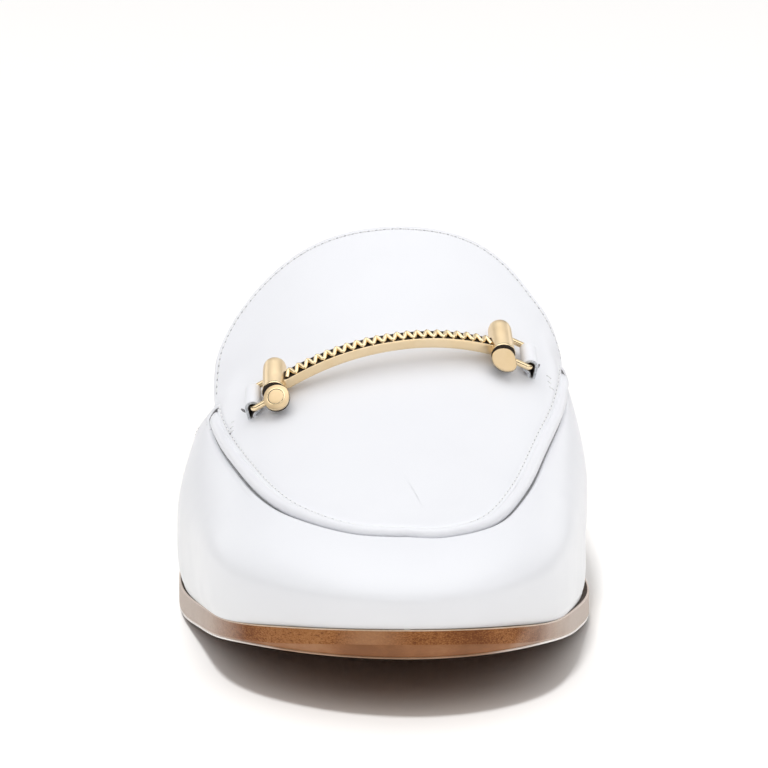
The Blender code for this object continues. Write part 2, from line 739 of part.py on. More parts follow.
def turned_object(name, profile, middle, axis, finish, steps=24):
    """Profile of (radius, height) from the top down, turned round its own +Z set along axis."""
    mesh = bpy.data.meshes.new(name)
    mesh.from_pydata([(r * MM, 0.0, z * MM) for r, z in profile], [(k, k + 1) for k in range(len(profile) - 1)], [])
    obj = finish_object(bpy.data.objects.new(name, mesh), finish)
    turn = obj.modifiers.new("turn", "SCREW")
    turn.steps = turn.render_steps = steps
    turn.use_merge_vertices = True
    turn.merge_threshold = 0.00005
    turn.use_smooth_shade = True
    obj.matrix_local = Matrix.Translation(Vector(middle) * MM) @ Vector(axis).to_track_quat("Z", "Y").to_matrix().to_4x4()
    return obj


def tab_outline(side, frame, loop):
    """Closed outline of the tab's leather round the ring, in outward and up distances."""
    middle, out, toward, up = frame
    outer = RING_WIRE_RADIUS + GAP + TAB_LEATHER
    tail = TAB_TAIL[SIDE_NAMES[side]]
    turn = np.radians(np.linspace(270, 40, 13))
    ring = np.column_stack([np.cos(turn), np.sin(turn)]) * outer
    reach = np.linspace(outer * 1.35, outer + tail, 4)
    lower = []
    for mark in np.concatenate([reach[::-1], [outer * 0.6]]):
        points = loop + out * mark - up * outer + np.outer(np.linspace(-0.5, 0.5, 5) * TAB_WIDTH, toward)
        normal = surface_normal(points[:, 0], points[:, 1])
        drop = float(np.min((points[:, 2] - top_z(points[:, 0], points[:, 1])) * normal[:, 2]))
        lower.append((mark, -outer - max(-TAB_LEATHER, drop - GAP - SEAM_SWELL)))
    upper_side = [(mark, low + 2 * TAB_LEATHER) for mark, low in lower[:4]][::-1]
    return np.vstack([ring, upper_side, lower])


def tab_object(name, side, frame, loop, finish):
    middle, out, toward, up = frame
    outline = tab_outline(side, frame, loop)
    hole = RING_WIRE_RADIUS + GAP
    turn = np.linspace(0, 2 * math.pi, 17)[:-1]
    curve = bpy.data.curves.new(name, "CURVE")
    curve.dimensions = "2D"
    curve.fill_mode = "BOTH"
    curve.extrude = TAB_WIDTH / 2 * MM
    for points in (outline, np.column_stack([np.cos(turn), np.sin(turn)]) * hole):
        spline = curve.splines.new("POLY")
        spline.points.add(len(points) - 1)
        spline.use_cyclic_u = True
        for place, (u, w) in zip(spline.points, points):
            place.co = (u * MM, w * MM, 0.0, 1.0)
    obj = finish_object(bpy.data.objects.new(name, curve), finish)
    width = np.cross(out, up)
    basis = Matrix([[*map(float, row)] for row in np.column_stack([out, up, width])]).to_4x4()
    obj.matrix_local = Matrix.Translation(Vector(loop) * MM) @ basis
    return obj


END_PROFILE = (  # radius, height: the cap faces the toe
    (0.0, 7.0),
    (1.3, 6.9),
    (1.95, 6.4),
    (BIT_END_RADIUS, 5.7),
    (BIT_END_RADIUS, -4.7),
    (1.8, -4.9),
    (1.8, -5.3),
    (BIT_CAP_RADIUS, -5.6),
    (BIT_CAP_RADIUS, -6.4),
    (2.1, -6.85),
    (1.7, -7.0),
    (0.0, -7.0),
)
bit_middles = {}
for side, word in ((-1, "lateral"), (1, "medial")):
    frame = bit_frame(side)
    middle, out, toward, up = frame
    bit_middles[side] = frame
    turned_object(f"bit_end_{word}", END_PROFILE, middle, toward, GOLD)
    outer = RING_WIRE_RADIUS + GAP + TAB_LEATHER
    shift = toward * RING_SHIFT[SIDE_NAMES[side]]
    loop = middle + out * RING_REACH[SIDE_NAMES[side]] + shift
    tail = TAB_TAIL[SIDE_NAMES[side]]
    checks = [
        loop + out * mark + toward * (TAB_WIDTH / 2 * end)
        for mark in (-outer * 0.7, 0.0, outer * 0.7)
        for end in (-1, 0, 1)
    ]
    loop = loop + up * clear_lift(checks, [outer] * len(checks), up)
    tab_object(f"bit_tab_{word}", side, frame, loop, WHITE)
    half = RING_LENGTH / 2
    start = middle + out * (BIT_CAP_RADIUS + GAP) + shift
    corner = 0.9
    path = []
    for end in (1, -1):
        arm = [
            start + toward * half * end,
            start + toward * half * end + (loop - start - out * corner) * 0.95,
            loop + toward * (half * end) - out * corner * 0.25 - toward * corner * 0.25 * end,
            loop + toward * (half - corner) * end,
        ]
        path += arm if end > 0 else arm[::-1]
    tube_object(f"bit_ring_{word}", path, RING_WIRE_RADIUS, GOLD)

left, right = bit_middles[-1], bit_middles[1]
bar_start = left[0] - left[1] * (BIT_END_RADIUS + GAP + 0.1) + left[2] * BAR_SLIDE
bar_end = right[0] - right[1] * (BIT_END_RADIUS + GAP + 0.1) - right[2] * BAR_SLIDE
bar_up = (left[3] + right[3]) / np.linalg.norm(left[3] + right[3])
bar = []
for share in np.linspace(0, 1, 19):
    arch = 1 - abs(2 * share - 1) ** 2.1
    bar.append(bar_start + (bar_end - bar_start) * share + bar_up * BIT_BAR_RISE * arch)
tube_object("bit_bar", bar, BIT_BAR_RADIUS, GOLD)


# ---------------------------------------------------------------- origin under the middle
bpy.context.view_layer.update()
graph = bpy.context.evaluated_depsgraph_get()
corners = []
for obj in LOAFER.objects:
    if obj.type in ("MESH", "CURVE"):
        shape = obj.evaluated_get(graph).to_mesh()
        places_now = np.empty(len(shape.vertices) * 3)
        shape.vertices.foreach_get("co", places_now)
        world = np.array(obj.matrix_world)
        corners.append(places_now.reshape(-1, 3) @ world[:3, :3].T + world[:3, 3])
        obj.evaluated_get(graph).to_mesh_clear()
spread = np.vstack(corners)
middle = (spread.min(axis=0) + spread.max(axis=0)) / 2
ROOT.location = (-middle[0], -middle[1], -spread[:, 2].min())
bpy.context.view_layer.update()
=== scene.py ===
"""Looks of the backless bit loafer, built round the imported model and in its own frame.

Shaping frame, in millimetres: x to the medial side, y back from the toe tip, z up from the floor.
The same curves that shape the solids are used here at a finer step, and every piece is then moved
into the model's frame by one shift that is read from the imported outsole's box.
"""

import math

import bmesh
import bpy
import numpy as np
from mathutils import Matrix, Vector


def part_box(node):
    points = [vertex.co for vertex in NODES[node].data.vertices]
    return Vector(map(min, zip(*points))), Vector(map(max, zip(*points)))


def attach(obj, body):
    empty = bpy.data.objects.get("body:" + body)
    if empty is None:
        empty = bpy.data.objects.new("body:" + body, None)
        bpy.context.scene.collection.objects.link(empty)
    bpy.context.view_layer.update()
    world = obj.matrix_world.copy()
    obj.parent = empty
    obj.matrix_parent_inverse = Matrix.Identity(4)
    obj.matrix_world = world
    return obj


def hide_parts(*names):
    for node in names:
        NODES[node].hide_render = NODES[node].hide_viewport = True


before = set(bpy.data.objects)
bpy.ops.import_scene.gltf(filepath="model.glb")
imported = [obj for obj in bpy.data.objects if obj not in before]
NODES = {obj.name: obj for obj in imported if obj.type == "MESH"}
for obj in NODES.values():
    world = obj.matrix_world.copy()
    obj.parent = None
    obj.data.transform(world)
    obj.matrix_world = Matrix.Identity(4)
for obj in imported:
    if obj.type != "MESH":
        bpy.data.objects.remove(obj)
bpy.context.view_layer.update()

MM = 0.001

# ---------------------------------------------------------------- sizes, mm, as in the solids
GAP = 0.3  # clearance between neighbouring pieces

# ---------------------------------------------------------------- driving sizes, mm
SOLE_LENGTH = 256.0
EDGE_EASE = 13.0  # smoothing of the sole's plan, in steps of the 2400 round it
BEVEL_RUN = 0.65  # the sole's lower edge goes in this much for each unit of its drop

WALL = 1.9  # upper: outer leather, reinforcement and lining
SHOULDER_POWER = 2.3
TONGUE_EASE = 14.0  # smoothing of the tongue's edge, in steps of the 400 along it
TONGUE_RELEASE = 11.0  # length over which the tongue's edges leave the side walls
FEATHER_POWER = 0.72  # how quickly the wall swells above the feather line
FOOTBED = 3.2
HEEL_LIFT = 4.0
HEEL_BREAST = 190.0
HEEL_INSET = 1.0

PIPING_RADIUS = 1.2
GROOVE_DEPTH = 1.3
SEAM_SWELL = 0.35  # the apron rises this much just inside its piping

# Sole plan: how far back, and the x of the lateral and medial edges.
OUTLINE = (
    # y, lateral, medial
    (1.0, -3.2, 11.9),
    (3.5, -10.0, 17.6),
    (7.7, -16.5, 23.1),
    (13.0, -22.5, 28.0),
    (19.3, -27.8, 32.1),
    (28.0, -32.3, 35.5),
    (40.0, -35.4, 38.2),
    (55.0, -37.9, 40.3),
    (70.0, -40.6, 42.1),
    (82.0, -42.4, 42.7),
    (94.0, -43.0, 41.5),
    (110.0, -41.5, 37.4),
    (130.0, -37.9, 31.2),
    (151.0, -34.4, 27.6),
    (172.0, -32.0, 26.8),
    (194.0, -30.8, 27.8),
    (214.0, -30.2, 28.8),
    (231.0, -27.4, 27.0),
    (244.0, -20.6, 21.0),
    (252.5, -10.8, 11.4),
)
TOE_END = (4.6, -0.2)
HEEL_END = (0.3, SOLE_LENGTH + 0.3)

# Side view of the sole: underside, the bevel of its lower edge, and its top face.
SOLE_PROFILE = (
    # y, underside, bevel drop, top
    (0.0, 15.0, 3.2, 21.4),
    (6.0, 14.3, 2.3, 20.0),
    (12.0, 13.6, 1.4, 18.6),
    (18.0, 12.8, 0.9, 17.2),
    (27.0, 11.1, 0.7, 15.4),
    (40.0, 8.3, 0.7, 13.2),
    (58.0, 4.5, 0.7, 9.6),
    (72.0, 1.8, 0.7, 7.2),
    (82.0, 0.4, 0.7, 6.1),
    (90.0, 0.0, 0.7, 5.8),
    (112.0, 0.0, 0.7, 5.7),
    (130.0, 2.4, 0.7, 7.8),
    (151.0, 7.4, 0.7, 12.4),
    (172.0, 11.6, 0.7, 16.5),
    (192.0, 13.4, 0.7, 18.3),
    (215.0, 13.9, 0.7, 18.8),
    (240.0, 14.3, 0.7, 19.2),
    (256.0, 14.6, 0.7, 19.5),
)

# Lasted wall of the upper along the sole's edge, lateral and medial: how far the feather line
# lies inside the sole's edge, how far the wall bulges out from it and how high that bulge is,
# and how wide the shoulder is that turns the wall into the top.
WALL_TABLE = (
    # y, ledge l, ledge m, bulge out l, m, bulge up l, m, shoulder l, m
    (0.0, 0.5, 0.5, 1.0, 1.0, 5.0, 5.0, 16.0, 16.0),
    (20.0, 0.8, 1.2, 1.4, 1.5, 8.0, 9.0, 18.0, 16.0),
    (45.0, 1.1, 1.9, 1.8, 2.0, 12.0, 14.0, 19.0, 14.0),
    (75.0, 1.6, 2.6, 2.0, 2.0, 12.0, 18.0, 19.0, 11.5),
    (95.0, 1.9, 2.8, 2.0, 3.5, 12.0, 21.0, 18.0, 10.0),
    (110.0, 1.9, 2.5, 1.6, 5.0, 11.0, 21.0, 18.0, 9.0),
    (125.0, 1.6, 2.0, 1.4, 5.0, 9.0, 16.0, 17.0, 10.0),
    (150.0, 1.8, 1.8, 0.8, 2.0, 6.0, 6.0, 16.0, 12.0),
)

# Ridge of the last, and how much the apron's plane falls 40 mm to either side of it.
RIDGE_TABLE = (
    # y, ridge x, ridge z, crown
    (0.0, 5.0, 31.5, 1.0),
    (12.0, 4.6, 34.0, 2.2),
    (25.0, 4.2, 36.8, 4.2),
    (50.0, 3.6, 41.8, 7.8),
    (75.0, 3.2, 48.4, 11.0),
    (100.0, 3.0, 58.2, 14.0),
    (127.0, 2.6, 70.5, 15.0),
    (150.0, 2.6, 81.5, 16.0),
)

# Apron seam: distance in from the bulge line, by the place along the sole's edge.
SEAM_TABLE = (
    # y, lateral, medial
    (0.0, 20.6, 20.6),
    (8.0, 18.0, 16.8),
    (20.0, 16.4, 13.4),
    (35.0, 14.2, 11.9),
    (50.0, 11.8, 10.3),
    (70.0, 9.8, 8.3),
    (85.0, 8.5, 6.3),
    (97.0, 7.3, 4.4),
    (108.0, 6.5, 2.6),
)
JUNCTION_Y = (97.0, 107.0)  # where the seam ends, lateral and medial

# Tongue edge in plan, from the lateral end of the seam round the top to the medial end.
TONGUE_EDGE = (
    # x, y
    (-36.3, 104.5),
    (-34.9, 111.6),
    (-31.9, 117.3),
    (-27.4, 122.2),
    (-20.8, 126.6),
    (-11.0, 129.2),
    (2.4, 129.8),
    (14.4, 129.9),
    (23.7, 127.6),
    (29.4, 122.8),
    (34.0, 116.5),
    (38.8, 111.3),
)

# Side topline of the vamp behind the seam's ends, as a share of the seam end's height.
TOPLINE_TABLE = (
    # share of the way back, share of the height
    (0.0, 1.0),
    (0.2, 0.80),
    (0.4, 0.59),
    (0.6, 0.39),
    (0.8, 0.22),
    (1.0, 0.10),
)
VAMP_END_Y = 147.0

# Metal bit and its leather tabs, lateral and medial end.
BIT_END_PLACE = ((-21.7, 84.0), (23.6, 94.1))  # middle of each T-shaped end, x and y
BIT_END_LENGTH = 14.0
BIT_END_RADIUS = 2.15
BIT_CAP_RADIUS = 2.5
BIT_END_TILT = 18.0  # degrees up toward the heel
BIT_BAR_RADIUS = 1.75
BIT_BAR_RISE = 4.9  # middle of the bar above the line between its ends
BAR_SLIDE = 0.6  # the bar meets the lateral end this far back of its middle, the medial one as far forward
RING_WIRE_RADIUS = 0.65
RING_LENGTH = 8.0
RING_SHIFT = (-2.2, -0.8)  # ring and tab sit this far along the end, toward the toe
RING_REACH = (5.0, 6.2)  # from the middle of the T-shaped end out to the ring's outer bar
TAB_WIDTH = 6.6
TAB_LEATHER = 0.8
TAB_TAIL = (2.0, 2.0)


# ---------------------------------------------------------------- curves
def cubic(knots, values):
    """Natural cubic through the knots, held straight beyond the ends. Values may be rows."""
    x = np.asarray(knots, float)
    f = np.asarray(values, float)
    h = np.diff(x)
    n = len(x)
    system = np.eye(n)
    right = np.zeros(f.shape)
    slope = (np.diff(f, axis=0).T / h).T
    for i in range(1, n - 1):
        system[i, i - 1 : i + 2] = h[i - 1], 2 * (h[i - 1] + h[i]), h[i]
        right[i] = 6 * (slope[i] - slope[i - 1])
    bend = np.linalg.solve(system, right)

    def value(at):
        at = np.asarray(at, float)
        i = np.clip(np.searchsorted(x, at) - 1, 0, n - 2)
        inside = np.clip(at, x[0], x[-1])
        extra = at - inside
        wide = h[i]
        a = (x[i + 1] - inside) / wide
        b = 1 - a
        if f.ndim > 1:
            a, b, wide, extra = a[..., None], b[..., None], wide[..., None], extra[..., None]
        curve = a * f[i] + b * f[i + 1] + ((a**3 - a) * bend[i] + (b**3 - b) * bend[i + 1]) * wide**2 / 6
        tilt = (f[i + 1] - f[i]) / wide + (
            (3 * b**2 - 1) * bend[i + 1] - (3 * a**2 - 1) * bend[i]
        ) * wide / 6
        return curve + tilt * extra

    return value


def columns(table, *which):
    rows = np.array(table, float)
    return [cubic(rows[:, 0], rows[:, k]) for k in which]


def loop_curve(points, count):
    """Closed smooth curve through the points, as count points evenly spaced by knot length."""
    p = np.asarray(points, float)
    lap = 3  # neighbours repeated at each end, so that the curve closes smoothly
    ring = np.vstack([p[-lap:], p, p[: lap + 1]])
    knot = np.concatenate([[0], np.cumsum(np.linalg.norm(np.diff(ring, axis=0), axis=1))])
    first, last = knot[lap], knot[lap + len(p)]
    return cubic(knot, ring)(np.linspace(first, last, count, endpoint=False)), (knot[lap:-lap] - first)


def along(line):
    return np.concatenate([[0], np.cumsum(np.linalg.norm(np.diff(line, axis=0), axis=1))])


# ---------------------------------------------------------------- sole
def sole_edge():
    """Sole plan, from the toe tip round the lateral side, the heel and the medial side."""
    rows = np.array(OUTLINE)
    lateral, medial = rows[:, [1, 0]], rows[:, [2, 0]]
    points = np.vstack([[TOE_END], lateral, [HEEL_END], medial[::-1]])
    line, knots = loop_curve(points, 2400)
    reach = np.arange(-36, 37)
    weight = np.exp(-0.5 * (reach / EDGE_EASE) ** 2)
    weight /= weight.sum()
    line = sum(w * np.roll(line, k, axis=0) for w, k in zip(weight, reach))
    step = (np.roll(line, -1, axis=0) - np.roll(line, 1, axis=0))
    step /= np.linalg.norm(step, axis=1)[:, None]
    # The loop runs tip, lateral side, heel, medial side, so its outer side is on the right.
    normal = np.column_stack([-step[:, 1], step[:, 0]])
    return line, normal, int(np.argmax(line[:, 1]))


EDGE, EDGE_OUT, HEEL_INDEX = sole_edge()
TOE_INDEX = 0
EDGE_SIDE = np.where(np.arange(len(EDGE)) <= HEEL_INDEX, -1, 1)
underside_curve, bevel_drop, sole_top = columns(SOLE_PROFILE, 1, 2, 3)


def underside(y):
    """Bottom face of the sole, flat on the floor under the ball of the foot."""
    return np.maximum(underside_curve(y), 0.0)


def pick(side, lateral, medial):
    return np.where(side < 0, lateral, medial)


def wall_values(y, side):
    """Ledge, bulge out, bulge up and shoulder width at places along the sole's edge."""
    pairs = zip(columns(WALL_TABLE, 1, 3, 5, 7), columns(WALL_TABLE, 2, 4, 6, 8))
    return [pick(side, lateral(y), medial(y)) for lateral, medial in pairs]


LEDGE, BULGE_OUT, BULGE_UP, SHOULDER = wall_values(EDGE[:, 1], EDGE_SIDE)
FEATHER = EDGE - EDGE_OUT * LEDGE[:, None]
FEATHER_Z = sole_top(EDGE[:, 1]) + GAP
BULGE = FEATHER + EDGE_OUT * BULGE_OUT[:, None]
BULGE_Z = FEATHER_Z + BULGE_UP
ridge_x, ridge_z, crown = columns(RIDGE_TABLE, 1, 2, 3)


# ---------------------------------------------------------------- upper
def plane_z(x, y):
    """The broad top of the last before its shoulders are rounded."""
    return ridge_z(y) - crown(y) * ((x - ridge_x(y)) / 40.0) ** 2


def shoulder(share):
    share = np.clip(share, 0, 1)
    return (1 - (1 - share) ** SHOULDER_POWER) ** (1 / SHOULDER_POWER)


def near_bulge(x, y):
    """Distance in from the bulge line, with the line's height and shoulder width there."""
    shape = np.shape(x)
    points = np.column_stack([np.ravel(x), np.ravel(y)])
    keep = np.flatnonzero(EDGE[:, 1] < 175.0)
    line = BULGE[keep]
    distance = np.empty(len(points))
    level = np.empty(len(points))
    wide = np.empty(len(points))
    for start in range(0, len(points), 2000):
        block = points[start : start + 2000]
        gap = ((block[:, None, :] - line[None, :, :]) ** 2).sum(axis=2)
        best = gap.argmin(axis=1)
        index = keep[best]
        span = BULGE[(index + 1) % len(BULGE)] - BULGE[index - 1]
        offset = ((block - BULGE[index]) * span).sum(axis=1) / (span**2).sum(axis=1)
        foot = BULGE[index] + span * offset[:, None]
        out = np.column_stack([-span[:, 1], span[:, 0]])
        out /= np.linalg.norm(out, axis=1)[:, None]
        distance[start : start + 2000] = ((foot - block) * out).sum(axis=1)
        near, far = index - 1, (index + 1) % len(BULGE)
        level[start : start + 2000] = BULGE_Z[index] + (BULGE_Z[far] - BULGE_Z[near]) * offset
        wide[start : start + 2000] = SHOULDER[index] + (SHOULDER[far] - SHOULDER[near]) * offset
    return distance.reshape(shape), level.reshape(shape), wide.reshape(shape)


def leave_wall(x, y):
    """0 over the apron, rising to 1 where the free tongue has left the side walls."""
    lateral, medial = JUNCTION_Y
    seam_end = lateral + (medial - lateral) * np.clip((x + 36.0) / 74.0, 0, 1)
    share = np.clip((y - seam_end) / TONGUE_RELEASE, 0, 1)
    return share * share * (3 - 2 * share)


def top_z(x, y):
    """Outer surface of the apron and tongue."""
    distance, level, wide = near_bulge(x, y)
    rounding = shoulder(distance / wide)
    rounding = rounding + (1 - rounding) * leave_wall(x, y)
    return level + (plane_z(x, y) - level) * rounding


def station(side, y):
    """Index along the sole's edge of a place y back on one side."""
    if y < 0.5 or y > SOLE_LENGTH - 0.5:
        return TOE_INDEX if y < 0.5 else HEEL_INDEX
    index = np.arange(HEEL_INDEX + 1)
    if side > 0:
        index = np.concatenate([[0], np.arange(len(EDGE) - 1, HEEL_INDEX - 1, -1)])
    return int(index[np.argmin(np.abs(EDGE[index, 1] - y))])


def section(index, inset, count):
    """Outer line of the wall at one place: feather, out to the bulge, then in by inset."""
    rise = np.linspace(0, 1, 13)
    low_xy = FEATHER[index] + EDGE_OUT[index] * (BULGE_OUT[index] * np.sin(rise * math.pi / 2) ** FEATHER_POWER)[:, None]
    low_z = FEATHER_Z[index] + BULGE_UP[index] * rise
    wide = SHOULDER[index]
    turn = np.linspace(0, math.acos((1 - min(inset / wide, 1.0)) ** (SHOULDER_POWER / 2)), 25)[1:]
    inward = wide * (1 - np.cos(turn) ** (2 / SHOULDER_POWER))
    if inset > wide:
        inward = np.concatenate([inward, np.linspace(wide, inset, 13)[1:]])
    high_xy = BULGE[index] - EDGE_OUT[index] * inward[:, None]
    level = BULGE_Z[index]
    high_z = level + (plane_z(high_xy[:, 0], high_xy[:, 1]) - level) * shoulder(inward / wide)
    line = np.vstack([np.column_stack([low_xy, low_z]), np.column_stack([high_xy, high_z])])
    return line


def resample(line, marks):
    """Points along a line at the given distances from its start."""
    reach = along(line)
    return np.column_stack([np.interp(marks, reach, line[:, k]) for k in range(3)])


seam_lateral, seam_medial = columns(SEAM_TABLE, 1, 2)
topline_share = columns(TOPLINE_TABLE, 1)[0]


def seam_inset(index, side):
    y = EDGE[index, 1]
    return float(seam_lateral(y) if side < 0 else seam_medial(y))




# ---------------------------------------------------------------- into the model's frame
low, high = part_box("outsole")
SHIFT = np.array(
    [
        (low.x + high.x) / 2 / MM - (EDGE[:, 0].min() + EDGE[:, 0].max()) / 2,
        (low.y + high.y) / 2 / MM - (EDGE[:, 1].min() + EDGE[:, 1].max()) / 2,
        low.z / MM,
    ]
)


def smoothstep(value, low_end, high_end):
    share = np.clip((np.asarray(value, float) - low_end) / (high_end - low_end), 0, 1)
    return share * share * (3 - 2 * share)


def unit(rows):
    rows = np.asarray(rows, float)
    return rows / np.maximum(np.linalg.norm(rows, axis=-1, keepdims=True), 1e-12)


def piece(name, vertices, faces, finishes, slot=None, replaces=(), face_finish=None, sharp=40.0, outward=False):
    """A mesh object from shaping-frame millimetres, riding on the one body of the shoe."""
    mesh = bpy.data.meshes.new(name)
    points = (np.asarray(vertices, float) + SHIFT) * MM
    mesh.from_pydata([tuple(p) for p in points], [], [tuple(int(i) for i in f) for f in faces])
    if outward:
        shape = bmesh.new()
        shape.from_mesh(mesh)
        bmesh.ops.recalc_face_normals(shape, faces=shape.faces)
        shape.to_mesh(mesh)
        shape.free()
    mesh.shade_smooth()
    if sharp is not None:
        mesh.set_sharp_from_angle(angle=math.radians(sharp))
    obj = bpy.data.objects.new(name, mesh)
    bpy.context.scene.collection.objects.link(obj)
    for finish in finishes:
        mesh.materials.append(finish)
    if face_finish is not None:
        mesh.polygons.foreach_set("material_index", np.asarray(face_finish, np.int32))
    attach(obj, "root")
    if replaces:
        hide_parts(*replaces)
    return obj


class Cage:
    """Vertices and faces gathered for one joined mesh."""

    def __init__(self):
        self.vertices, self.faces, self.marks = [], [], []
        self.count = 0

    def add(self, points):
        points = np.asarray(points, float).reshape(-1, 3)
        first = self.count
        self.vertices.append(points)
        self.count += len(points)
        return list(range(first, self.count))

    def face(self, corners, mark=0):
        kept = list(dict.fromkeys(corners))
        if len(kept) > 2:
            self.faces.append(tuple(kept))
            self.marks.append(mark)

    def points(self):
        return np.vstack(self.vertices)

    def sweep(self, rings, closed=True, caps=True, mark=0):
        """Rings of the same count joined one after another. rings is (n, m, 3)."""
        ids = [self.add(ring) for ring in rings]
        count = len(ids[0])
        last = count if closed else count - 1
        for here, there in zip(ids, ids[1:]):
            for k in range(last):
                j = (k + 1) % count
                self.face((here[k], here[j], there[j], there[k]), mark)
        if caps and closed:
            for ring, place, turn in ((ids[0], rings[0], -1), (ids[-1], rings[-1], 1)):
                middle = self.add(np.mean(place, axis=0))[0]
                for k in range(count):
                    j = (k + 1) % count
                    self.face((ring[k], ring[j], middle)[::turn], mark)
        return ids

    def piece(self, name, finishes, **rest):
        return piece(name, self.points(), self.faces, finishes, face_finish=self.marks, **rest)


def tangents(path, cyclic=False):
    path = np.asarray(path, float)
    if cyclic:
        step = np.roll(path, -1, axis=0) - np.roll(path, 1, axis=0)
    else:
        step = np.gradient(path, axis=0)
    return unit(step)


def tube_rings(path, up, radius, steps=16, wide=1.0, lift=None, cyclic=False):
    """Rings of an oval tube along a path. up gives the oval's upright direction at each point."""
    path = np.asarray(path, float)
    along_path = tangents(path, cyclic)
    up = np.broadcast_to(np.asarray(up, float), path.shape)
    side = unit(np.cross(along_path, up))
    top = unit(np.cross(side, along_path))
    turn = np.linspace(0, 2 * math.pi, steps, endpoint=False)
    radius = np.broadcast_to(np.asarray(radius, float), (len(path),))
    ring = side[:, None, :] * (np.cos(turn) * wide)[None, :, None] + top[:, None, :] * np.sin(turn)[None, :, None]
    return path[:, None, :] + ring * radius[:, None, None]


def resampled(path, count=None, step=None, *others):
    """The path at even distances, with any other rows that go with its points."""
    path = np.asarray(path, float)
    reach = along(path)
    if count is None:
        count = max(2, int(round(reach[-1] / step)) + 1)
    marks = np.linspace(0, reach[-1], count)
    made = [np.column_stack([np.interp(marks, reach, rows[:, k]) for k in range(rows.shape[1])]) for rows in (path, *map(np.asarray, others))]
    return made if others else made[0]


def add_stitches(cage, path, normals, pitch, length, radius, sink=0.10, rise=0.16, start=0.5, skew=0.0, mark=0):
    """Short threads laid along a path, each a rounded pad whose ends dive into the leather."""
    path, normals = np.asarray(path, float), unit(normals)
    reach = along(path)
    total = reach[-1]
    count = int(total // pitch)
    spare = total - count * pitch
    for k in range(count):
        middle = spare / 2 + (k + start) * pitch
        marks = middle + np.linspace(-0.5, 0.5, 7) * length
        line = np.column_stack([np.interp(marks, reach, path[:, j]) for j in range(3)])
        normal = unit(np.column_stack([np.interp(marks, reach, normals[:, j]) for j in range(3)]))
        t = np.linspace(-1, 1, 7)
        side = unit(np.cross(tangents(line), normal))
        height = -sink + (rise + sink) * np.sqrt(np.clip(1 - t**2, 0, 1))
        line = line + normal * height[:, None] + side * (skew * t)[:, None]
        size = radius * np.array([0.55, 0.85, 1, 1, 1, 0.85, 0.55])
        cage.sweep(tube_rings(line, normal, size, steps=8), mark=mark)


# ---------------------------------------------------------------- upper, at a fine step
VAMP_ROWS = 46
SEAM_COUNT = 150  # stations from the toe to each end of the seam
REAR_COUNT = 60
TONGUE_COUNT = 96
APRON_EVEN = 16
RIM = WALL / 2  # radius of the rounded free edges
RIM_MARKS = tuple(RIM * (1 - math.cos(math.radians(a))) for a in (0, 15, 32, 50, 70, 90))
VAMP_TAIL = (0.0, 0.5, 0.95, 1.2, 1.35, 1.48, 1.62, 1.8, 2.05, 2.4, 2.9, 3.6, 4.8)
REAR_TAIL = RIM_MARKS + (1.2, 1.45, 1.8, 2.3, 3.0, 3.9, 4.8)
TOPLINE_ROW = 8  # row of the topline, from its edge, that the stitches follow
APRON_HEAD = (0.0, 0.4, 0.8, 1.05, 1.25, 1.5, 1.75, 1.95, 2.15, 2.4, 2.8, 3.5, 4.8, 6.5)
FREE_HEAD = RIM_MARKS + (1.15, 1.45, 1.75, 2.05, 2.5, 3.3, 4.6, 6.3)
STITCH_ROW = 7  # row of APRON_HEAD and FREE_HEAD that the stitches follow
BEAD_RADIUS = 1.28
BEAD_TRIM = (4, 3)  # stations by which the bead stops short of the seam's ends, lateral and medial


def crevice_reach(distance, flank):
    """Distance out from the seam with the crevice's width taken out; it is wider on the flanks."""
    out = -np.asarray(distance, float)
    return np.where(out > 1.35, 1.35 + (out - 1.35) / (1 + 1.1 * flank), out)


def dip(distance, flank):
    """Height of the leather beside the bead against the plain last, inward distances above 0."""
    reach = crevice_reach(distance, flank)
    outer = np.interp(reach, (0.0, 1.2, 1.35, 1.48, 1.62, 1.8, 2.05, 2.4, 2.9, 3.6), (-1.3, -1.3, -1.28, -1.0, -0.52, -0.24, -0.12, -0.06, -0.02, 0.0))
    inner = np.interp(distance, (0.0, 0.8, 1.05, 1.25, 1.5, 1.75, 1.95, 2.15, 2.4, 2.8, 3.5, 6.5, 10.0), (-1.3, -1.1, -0.35, 0.0, 0.02, -0.07, -0.13, -0.07, 0.03, 0.1, 0.13, 0.1, 0.0))
    return np.where(distance < 0, outer, inner)


def surface_normal(x, y):
    step = 0.2
    slope_x = (top_z(x + step, y) - top_z(x - step, y)) / (2 * step)
    slope_y = (top_z(x, y + step) - top_z(x, y - step)) / (2 * step)
    return unit(np.stack([-slope_x, -slope_y, np.ones_like(slope_x)], axis=-1))


def at_marks(line, marks):
    reach = along(line)
    return np.column_stack([np.interp(marks, reach, line[:, k]) for k in range(3)])


def side_line(side):
    order = np.arange(0, HEEL_INDEX) if side < 0 else np.concatenate([[0], np.arange(len(EDGE) - 1, HEEL_INDEX, -1)])
    reach = along(EDGE[order])
    ends = [reach[np.argmin(np.abs(EDGE[order, 1] - y))] for y in (JUNCTION_Y[0 if side < 0 else 1], VAMP_END_Y)]
    front = np.linspace(0, ends[0], SEAM_COUNT + 1)
    rear = np.linspace(ends[0], ends[1], REAR_COUNT + 1)[1:]
    near = lambda mark: int(order[np.argmin(np.abs(reach - mark))])  # noqa: E731
    return [near(m) for m in front], [near(m) for m in rear]


def topline_cut(index, height):
    """Wall line at one place up to a height over the feather."""
    line = section(index, SHOULDER[index], 0)
    rise = line[:, 2] - FEATHER_Z[index]
    top = int(np.argmax(rise > height))
    share = (height - rise[top - 1]) / (rise[top] - rise[top - 1])
    return np.vstack([line[:top], line[top - 1] + (line[top] - line[top - 1]) * share])


